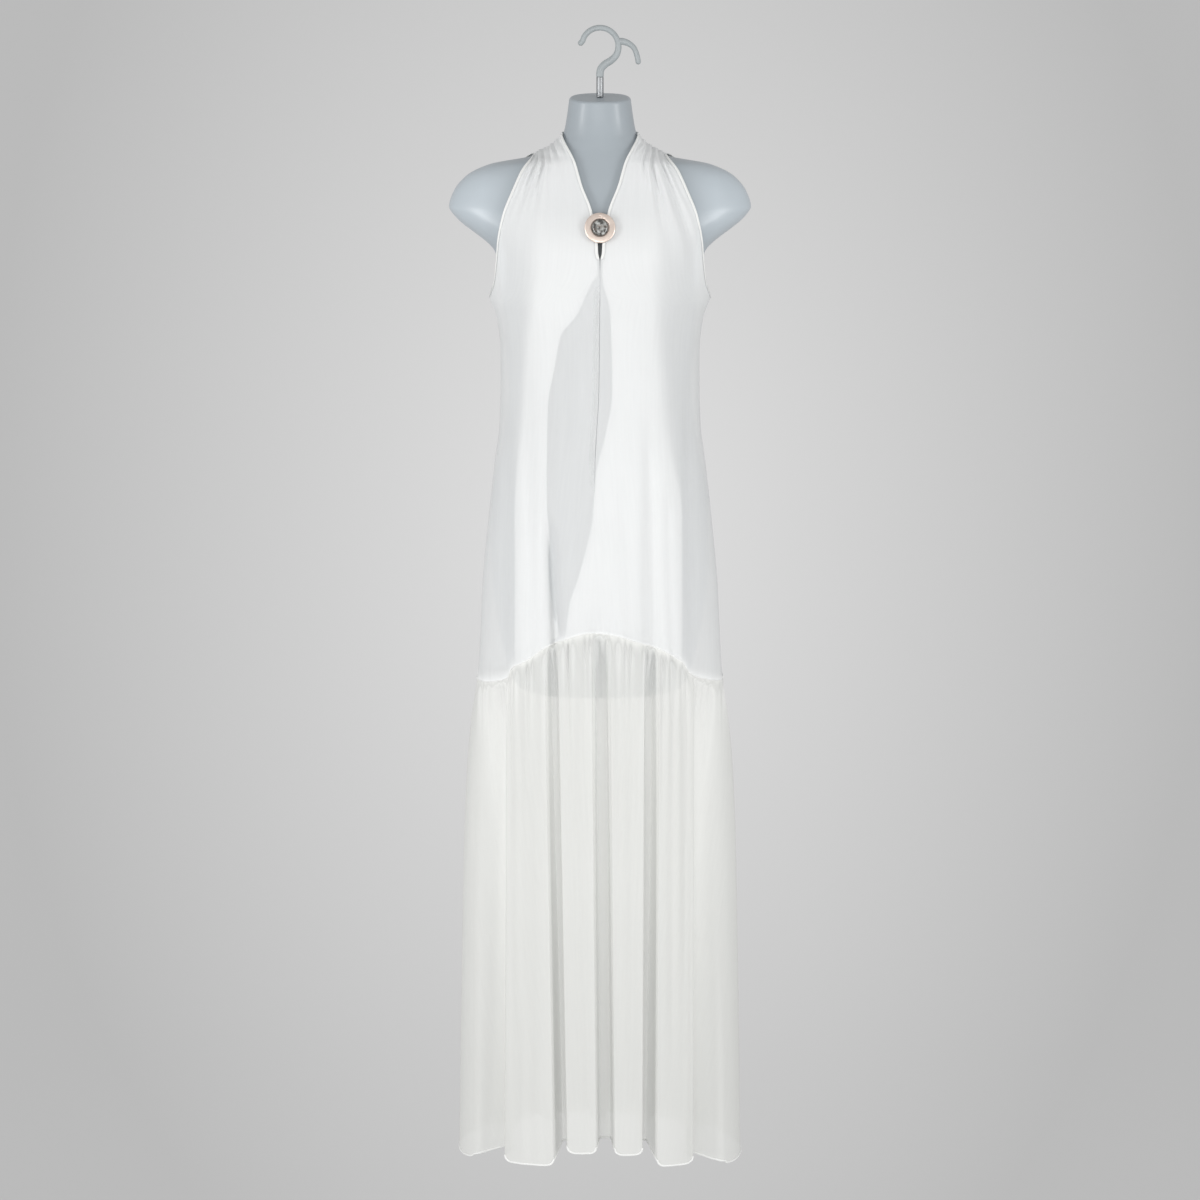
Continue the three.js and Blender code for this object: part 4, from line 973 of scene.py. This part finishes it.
def bar(path, half, depth_half, end_half=None):
    """Rounded bar along a path in the plane y = 0: ellipses across it, drawn in to a round tip at
    the start. The end has a round tip too, or is cut flat where its half width grows to end_half
    over the last part."""
    path = np.stack([path[:, 0], np.zeros(len(path)), path[:, 1]], axis=-1)
    tangent = np.gradient(path, axis=0)
    tangent /= np.linalg.norm(tangent, axis=1, keepdims=True)
    normal = np.cross(tangent, (0, 1, 0))
    along_path = np.concatenate([[0], np.linalg.norm(np.diff(path, axis=0), axis=1).cumsum()])
    near_end = along_path if end_half else np.minimum(along_path, along_path[-1] - along_path)
    size = np.sqrt(1 - (1 - np.clip(near_end / half, 0, 1)) ** 2).clip(0.05)[:, None, None]
    half = lerp(half, end_half or half, smooth(along_path / along_path[-1] * 2.2 - 1))[:, None, None]
    a = np.linspace(0, 2 * np.pi, 24, endpoint=False)[None, :, None]
    ring = half * np.cos(a) * normal[:, None] + depth_half * np.sin(a) * np.array([0, 1.0, 0])
    return path[:, None] + size * ring


class DRESS_OT_hook(bpy.types.Operator):
    """Make the double hook and its stem"""

    bl_idname = "dress.hook"
    bl_label = "Hook and stem"

    def execute(self, context):
        a = np.radians(HOOK_ARC)
        crown = np.stack([HOOK_RADIUS * np.cos(a), HOOK_CENTRE_Z + HOOK_RADIUS * np.sin(a)], axis=-1)
        crook = spline(np.concatenate([HOOK_START, crown, HOOK_SHANK]), 150)
        material = hook_plastic(context.scene.dress_colours)
        crook = bar(crook, 0.0039, 0.0045, 0.0052)
        ride(closed("hook_crook", crook, material), "hook_plastic", "hook")
        side = bar(spline(SIDE_HOOK[::-1], 70), 0.0037, 0.0043, 0.0048)
        ride(closed("hook_side_crook", side, material), "hook_plastic", "hook")
        turn = np.linspace(0, np.pi / 2, 6)
        falling, growing = STEM_EDGE * (1 - np.sin(turn)), STEM_EDGE * (1 - np.cos(turn))
        radius = np.concatenate([[0.0002], STEM_RADIUS - falling, STEM_RADIUS - growing, [0.0002]])
        height = np.concatenate([[STEM_BOTTOM], STEM_BOTTOM + growing, STEM_TOP - falling, [STEM_TOP]])
        turn = np.linspace(0, 2 * np.pi, 48, endpoint=False)
        level = np.repeat(height[:, None], 48, axis=1)
        rings = np.stack([radius[:, None] * np.cos(turn), radius[:, None] * np.sin(turn), level], axis=-1)
        ride(closed("plated_stem", rings, stem_metal()), "stem_metal", "hook_stem")
        return {"FINISHED"}


class DRESS_OT_skirt(bpy.types.Operator):
    """Make the gathered skirt, front and back"""

    bl_idname = "dress.skirt"
    bl_label = "Skirt"

    def execute(self, context):
        sizes, colours = context.scene.dress_sizes, context.scene.dress_colours
        sides = (
            ("front", -1, FRONT_VALLEYS, FRONT_HEM_LIFT, FRONT_CREASES, arch, (0.80, 0.74)),
            ("back", 1, BACK_VALLEYS, BACK_HEM_LIFT, BACK_CREASES, back_seam, (0.76, 0.68)),
        )
        for word, side, valleys, lifts, creases, seam, flat in sides:
            points, cover = skirt_points(side, valleys, lifts, creases, seam, sizes)
            piece = surface("skirt_" + word + "_cloth", points, skirt_cloth(colours), cover=cover)
            ride(piece, "skirt_cloth", "skirt_" + word)
            rim = tube(points[-1], sizes.hem_radius, flat=0.8)
            rim = closed("hem_" + word, rim, trim_cloth(colours))
            ride(rim, "binding_cloth")
            ridge = tube(points[0] + (0, 0, SEAM_GAP / 2), sizes.piping_radius)
            ridge = closed("seam_ridge_" + word, ridge, trim_cloth(colours))
            ride(ridge, "binding_cloth")
        return {"FINISHED"}


class DRESS_OT_bodice(bpy.types.Operator):
    """Make the bodice: two gathered fronts and the back"""

    bl_idname = "dress.bodice"
    bl_label = "Bodice"

    def execute(self, context):
        colours = context.scene.dress_colours
        rows = np.concatenate([
            np.linspace(0, 0.12, 24, endpoint=False), np.linspace(0.12, 1, 70), np.linspace(1.02, 1.9, 70),
            np.linspace(1.905, 2, 20)])[:, None]
        u = np.linspace(0, 1, 150)
        cover = 0.3 * np.exp(-np.abs(2 - rows) / 0.012) + 0.13 * (1 - smooth((rows - 0.1) / 1.1))
        for word, hand in (("left", -1), ("right", 1)):
            points = front_point(u, rows, hand)
            shown = cover - 0.012 / MM * bodice_creases(points[..., 0], points[..., 2])
            piece = surface("bodice_front_" + word, points, bodice_cloth(colours), cover=shown)
            ride(piece, "bodice_cloth", "front_" + word)
            trims = [f"neck_binding_{word}_tape", f"armhole_binding_front_{word}_tape"]
            trims += ["centre_seam_strip"] if word == "left" else []
        across = np.linspace(-1, 1, 260)
        points = back_point(across, rows)
        shown = np.broadcast_to(cover, points.shape[:2])
        piece = surface("bodice_back", points, bodice_cloth(colours), cover=shown)
        ride(piece, "bodice_cloth", "back")
        trims = ["neck_binding_back_tape"]
        trims += [f"armhole_binding_back_{word}_tape" for word in ("left", "right")]
        return {"FINISHED"}


class DRESS_OT_linings(bpy.types.Operator):
    """Make the two opaque inner panels behind the front"""

    bl_idname = "dress.linings"
    bl_label = "Inner panels"

    def execute(self, context):
        colours = context.scene.dress_colours
        material = dense_cloth("inner_panel", colours.lining, 0.7, 0.1, 0.3, glow=0.08, faded=True)
        across, down = np.linspace(0, 1, 60), np.linspace(0, 1, 120)[:, None]
        panels = (("left", LINING_LEFT, 0.12, across), ("right", LINING_RIGHT, 0.18, 1 - across))
        for word, rows, width, outer in panels:
            points = lining_point(rows, across, down)
            soft = 0.30 * (1 - smooth((down - 0.45) / 0.25)) + 0.02
            cover = smooth(outer / soft) * smooth(down / 0.16)
            piece = surface("inner_panel_" + word, points, material, cover=cover)
            ride(piece, "lining_cloth", "lining_" + word)
            area = width * LINING_LENGTH * LINING_FILL
            rests_on = ["bodice_front_" + word]
        return {"FINISHED"}


def edge_strip(point, at, width, space, wall):
    """Rounded strip laid on a panel's edge. point(a, s) gives the panel's own points along and in from
    the edge.

    Its section is a flat loop: out over the top from the edge to the strip's width and back underneath,
    each point lifted along the panel's normal.
    """
    a = at[:, None]
    reach = 0.25 * width / np.linalg.norm(point(a, 0.25) - point(a, 0.0), axis=-1, keepdims=True)[..., 0]
    s = np.linspace(0, 1, 9)
    base = point(a, s * reach)
    ahead = point(np.clip(a + 0.003, 0, 1), s * reach) - point(np.clip(a - 0.003, 0, 1), s * reach)
    inward = point(a, reach) - point(a, np.zeros_like(reach))
    normal = np.cross(ahead, inward)
    normal /= np.linalg.norm(normal, axis=-1, keepdims=True)
    away = np.stack([base[..., 0], 3 * base[..., 1], np.full(base.shape[:2], 0.06)], axis=-1)
    normal *= np.sign((normal * away).sum(axis=-1))[..., None]
    crown = np.sqrt(np.clip(1 - (2 * s - 1) ** 2, 0, 1))[:, None]
    over = base + normal * (space + wall * (0.5 + 0.5 * crown))
    under = base + normal * (space + wall * (0.5 - 0.5 * crown))
    return np.concatenate([over, under[:, -2:0:-1]], axis=1)


class DRESS_OT_bindings(bpy.types.Operator):
    """Make the neck and armhole bindings and the strip on the centre seam"""

    bl_idname = "dress.bindings"
    bl_label = "Bindings"

    def execute(self, context):
        sizes, colours = context.scene.dress_sizes, context.scene.dress_colours
        material = trim_cloth(colours)
        width, wall, space = sizes.binding_width, sizes.binding_wall, 0.0004
        for word, hand in (("left", -1), ("right", 1)):
            strips = {
                "neck_binding_": (0.005, lambda a, s: upper_front(s, a * SLIT_TIP, hand)),
                "armhole_binding_front_": (0.004, lambda a, s: upper_front(1 - s, a, hand)),
                "armhole_binding_back_": (0.06, lambda a, s: upper_back(hand * (1 - s), a)),
            }
            for name, (start, point) in strips.items():
                tape = edge_strip(point, np.linspace(start, 0.995, 120), width, space, wall)
                ride(closed(name + word + "_tape", tape, material), "binding_cloth", name + word)

        def back_neck(a, s):
            return upper_back((2 * a - 1) * 0.45, s * 0.4)

        tape = edge_strip(back_neck, np.linspace(0, 1, 120), width, space, wall)
        ride(closed("neck_binding_back_tape", tape, material), "binding_cloth", "neck_binding_back")

        share = sizes.placket_width / 0.22
        s = np.linspace(0.86, 1.66, 200)[:, None]
        across = np.linspace(0, 1, 13)
        ends = smooth((s - 0.88) / 0.14) * (1 - smooth((s - 1.42) / 0.2))
        rise = 0.0010 * (1 - across) ** 1.5 * np.minimum(1, np.arange(13) / 0.9) * ends
        over = front_point(share * across, s, -1, 0.0002 + rise)
        under = front_point(share * across, s, -1, 0.0001)
        loop = np.concatenate([over, under[:, -2:0:-1]], axis=1)
        shown = -0.8 * (1 - 0.6 * (1 - across) ** 0.6 * ends)
        shown = np.concatenate([shown, shown[:, -2:0:-1]], axis=1)
        cover = np.concatenate([shown.ravel(), [-1.0, -1.0]])
        strip = closed("centre_seam_strip", loop, bodice_cloth(colours), cover=cover)
        ride(strip, "bodice_cloth")
        return {"FINISHED"}


def brooch_frame():
    """Origin, right, up and outward axes of the brooch, leaning with the chest."""
    here = cloth_section(np.array(BROOCH_Z))
    below = cloth_section(np.array(BROOCH_Z - BROOCH_LEAN_SPAN))
    lean = math.atan2(below[1] - here[1], BROOCH_LEAN_SPAN)
    origin = np.array([0, -here[1] - BROOCH_STAND / math.cos(lean), BROOCH_Z])
    out = np.array([0, -math.cos(lean), math.sin(lean)])
    up = np.array([0, math.sin(lean), math.cos(lean)])
    return origin, np.array([1.0, 0, 0]), up, out


def squared(t, power):
    """A sine or cosine with the power of its size changed: below 1 the section gets squarer."""
    return np.sign(t) * np.abs(t) ** power


def on_brooch(radius, turn, height):
    """Points of the row frame from radius, turn and height on the brooch."""
    origin, x_axis, y_axis, z_axis = brooch_frame()
    right, up, out = np.broadcast_arrays(radius * np.cos(turn), radius * np.sin(turn), height)
    return origin + right[..., None] * x_axis + up[..., None] * y_axis + out[..., None] * z_axis


class DRESS_OT_brooch(bpy.types.Operator):
    """Make the round brooch: an overlapping flat band, a bezel and a domed stone"""

    bl_idname = "dress.brooch"
    bl_label = "Brooch"

    def execute(self, context):
        sizes, colours = context.scene.dress_sizes, context.scene.dress_colours
        outer = sizes.brooch_radius
        turn = np.linspace(math.radians(50), math.radians(50 + 405), 220)[:, None]
        share = (turn - turn[0]) / (turn[-1] - turn[0])
        inner = 0.012
        tail = smooth((share - 0.86) / 0.14)
        width = (outer - inner) * (1 - 0.55 * tail) * (1 - 0.3 * smooth((0.1 - share) / 0.1))
        middle = lerp(inner, outer, 0.5) + 0.0012 * tail
        rise = 0.0008 * smooth((share - 0.8) / 0.1)
        loop = np.linspace(0, 2 * np.pi, 20, endpoint=False)
        r = middle + squared(np.cos(loop), 0.7) * width / 2
        h = 0.0021 + rise + squared(np.sin(loop), 0.35) * 0.0018 - 0.08 * (r - middle)
        band = closed("brooch_band", on_brooch(r, turn, h), brooch_metal(colours))
        ride(band, "brooch_metal", "brooch_ring")
        around = np.linspace(0, 2 * np.pi, 96, endpoint=False)
        loop = np.linspace(0, 2 * np.pi, 13)[:, None]
        r = 0.0120 + 0.0009 * np.cos(loop)
        bezel = on_brooch(r, around, 0.0040 + 0.0009 * np.sin(loop))
        # The bezel is the rose plate at 0.3 of its colour.
        dark = brooch_metal(colours, "darker_bezel_plate", 0.3)
        ride(surface("brooch_bezel", bezel, dark, wrap=True), "brooch_metal", "brooch_ring")
        angle = np.linspace(0, np.pi / 2, 24, endpoint=False)[:, None]
        r = np.concatenate([[[0.0112]], 0.0112 * np.cos(angle) ** 0.8])
        h = np.concatenate([[[0.0002]], 0.0026 + 0.0044 * np.sin(angle)])
        stone = closed("brooch_cabochon", on_brooch(r, around, h), brooch_gem(colours))
        ride(stone, "brooch_stone", "brooch_stone")
        return {"FINISHED"}


def aim(position, target):
    """Turn that points an object's -Z from position to target."""
    return (Vector(target) - Vector(position)).to_track_quat("-Z", "Y").to_euler()


class DRESS_OT_stage(bpy.types.Operator):
    """Make the floor with its sweep, the soft lights and the camera"""

    bl_idname = "dress.stage"
    bl_label = "Studio"

    def execute(self, context):
        scene = context.scene
        arc = np.linspace(0, np.pi / 2, 24)
        y = SWEEP_CENTRE_Y + SWEEP_RADIUS * np.sin(arc)
        z = SWEEP_CENTRE_Z - SWEEP_RADIUS * np.cos(arc)
        y = np.concatenate([[-STUDIO_HALF], y, y[-1:]])[:, None]
        z = np.concatenate([z[:1], z, [WALL_TOP]])[:, None]
        x = np.linspace(-STUDIO_HALF, STUDIO_HALF, 9)
        points = np.stack(np.broadcast_arrays(x, y, z), axis=-1)
        sweep = surface("studio_sweep", points, studio_paper(scene.dress_colours))
        lamps = (
            ("front", (-0.5, -5.8, -0.7), (2.2, 2.2), 60.0),
            ("left_side", (-4.1, -2.9, -0.6), (1.1, 3.2), 100.0),
            ("right_side", (4.0, -3.0, -0.6), (1.1, 3.2), 90.0),
        )
        for name, position, size, power in lamps:
            light = bpy.data.lights.new(name, "AREA")
            light.shape = "RECTANGLE"
            light.size, light.size_y = size
            light.energy = power
            lamp = bpy.data.objects.new(name, light)
            lamp.location = position
            lamp.rotation_euler = aim(position, LAMP_TARGET)
            lamp.visible_camera = False
            scene.collection.objects.link(lamp)
        world = bpy.data.worlds.new("soft_room")
        world.use_nodes = True
        world.node_tree.nodes["Background"].inputs["Color"].default_value = (1, 1, 1, 1)
        world.node_tree.nodes["Background"].inputs["Strength"].default_value = 0.62
        scene.world = world
        scene.view_settings.view_transform = "Standard"
        lens = bpy.data.cameras.new("camera")
        lens.lens = 130.17
        lens.sensor_width = 36.0
        lens.clip_end = 50.0
        camera = bpy.data.objects.new("camera", lens)
        camera.location = CAMERA_PLACE
        camera.rotation_euler = aim(CAMERA_PLACE, CAMERA_TARGET)
        scene.collection.objects.link(camera)
        scene.camera = camera
        return {"FINISHED"}


class DRESS_PT_sidebar(bpy.types.Panel):
    """Sizes, colours and steps of the dress"""

    bl_label = "Dress"
    bl_idname = "DRESS_PT_sidebar"
    bl_space_type = "VIEW_3D"
    bl_region_type = "UI"
    bl_category = "Dress"

    def draw(self, context):
        for group in (context.scene.dress_sizes, context.scene.dress_colours):
            for name in group.__annotations__:
                self.layout.prop(group, name)
        for step in STEPS:
            self.layout.operator(step.bl_idname)


STEPS = (
    DRESS_OT_form, DRESS_OT_hook, DRESS_OT_skirt, DRESS_OT_bindings, DRESS_OT_bodice,
    DRESS_OT_linings, DRESS_OT_brooch, DRESS_OT_stage,
)


def register():
    for made in (DressSizes, DressColours, *STEPS, DRESS_PT_sidebar):
        bpy.utils.register_class(made)
    bpy.types.Scene.dress_sizes = bpy.props.PointerProperty(type=DressSizes)
    bpy.types.Scene.dress_colours = bpy.props.PointerProperty(type=DressColours)


def unregister():
    del bpy.types.Scene.dress_colours
    del bpy.types.Scene.dress_sizes
    for made in (DRESS_PT_sidebar, *reversed(STEPS), DressColours, DressSizes):
        bpy.utils.unregister_class(made)


def main():
    register()
    bpy.ops.dress.form()
    bpy.ops.dress.hook()
    bpy.ops.dress.skirt()
    bpy.ops.dress.bindings()
    bpy.ops.dress.bodice()
    bpy.ops.dress.linings()
    bpy.ops.dress.brooch()
    bpy.ops.dress.stage()


if __name__ == "__main__":
    main()
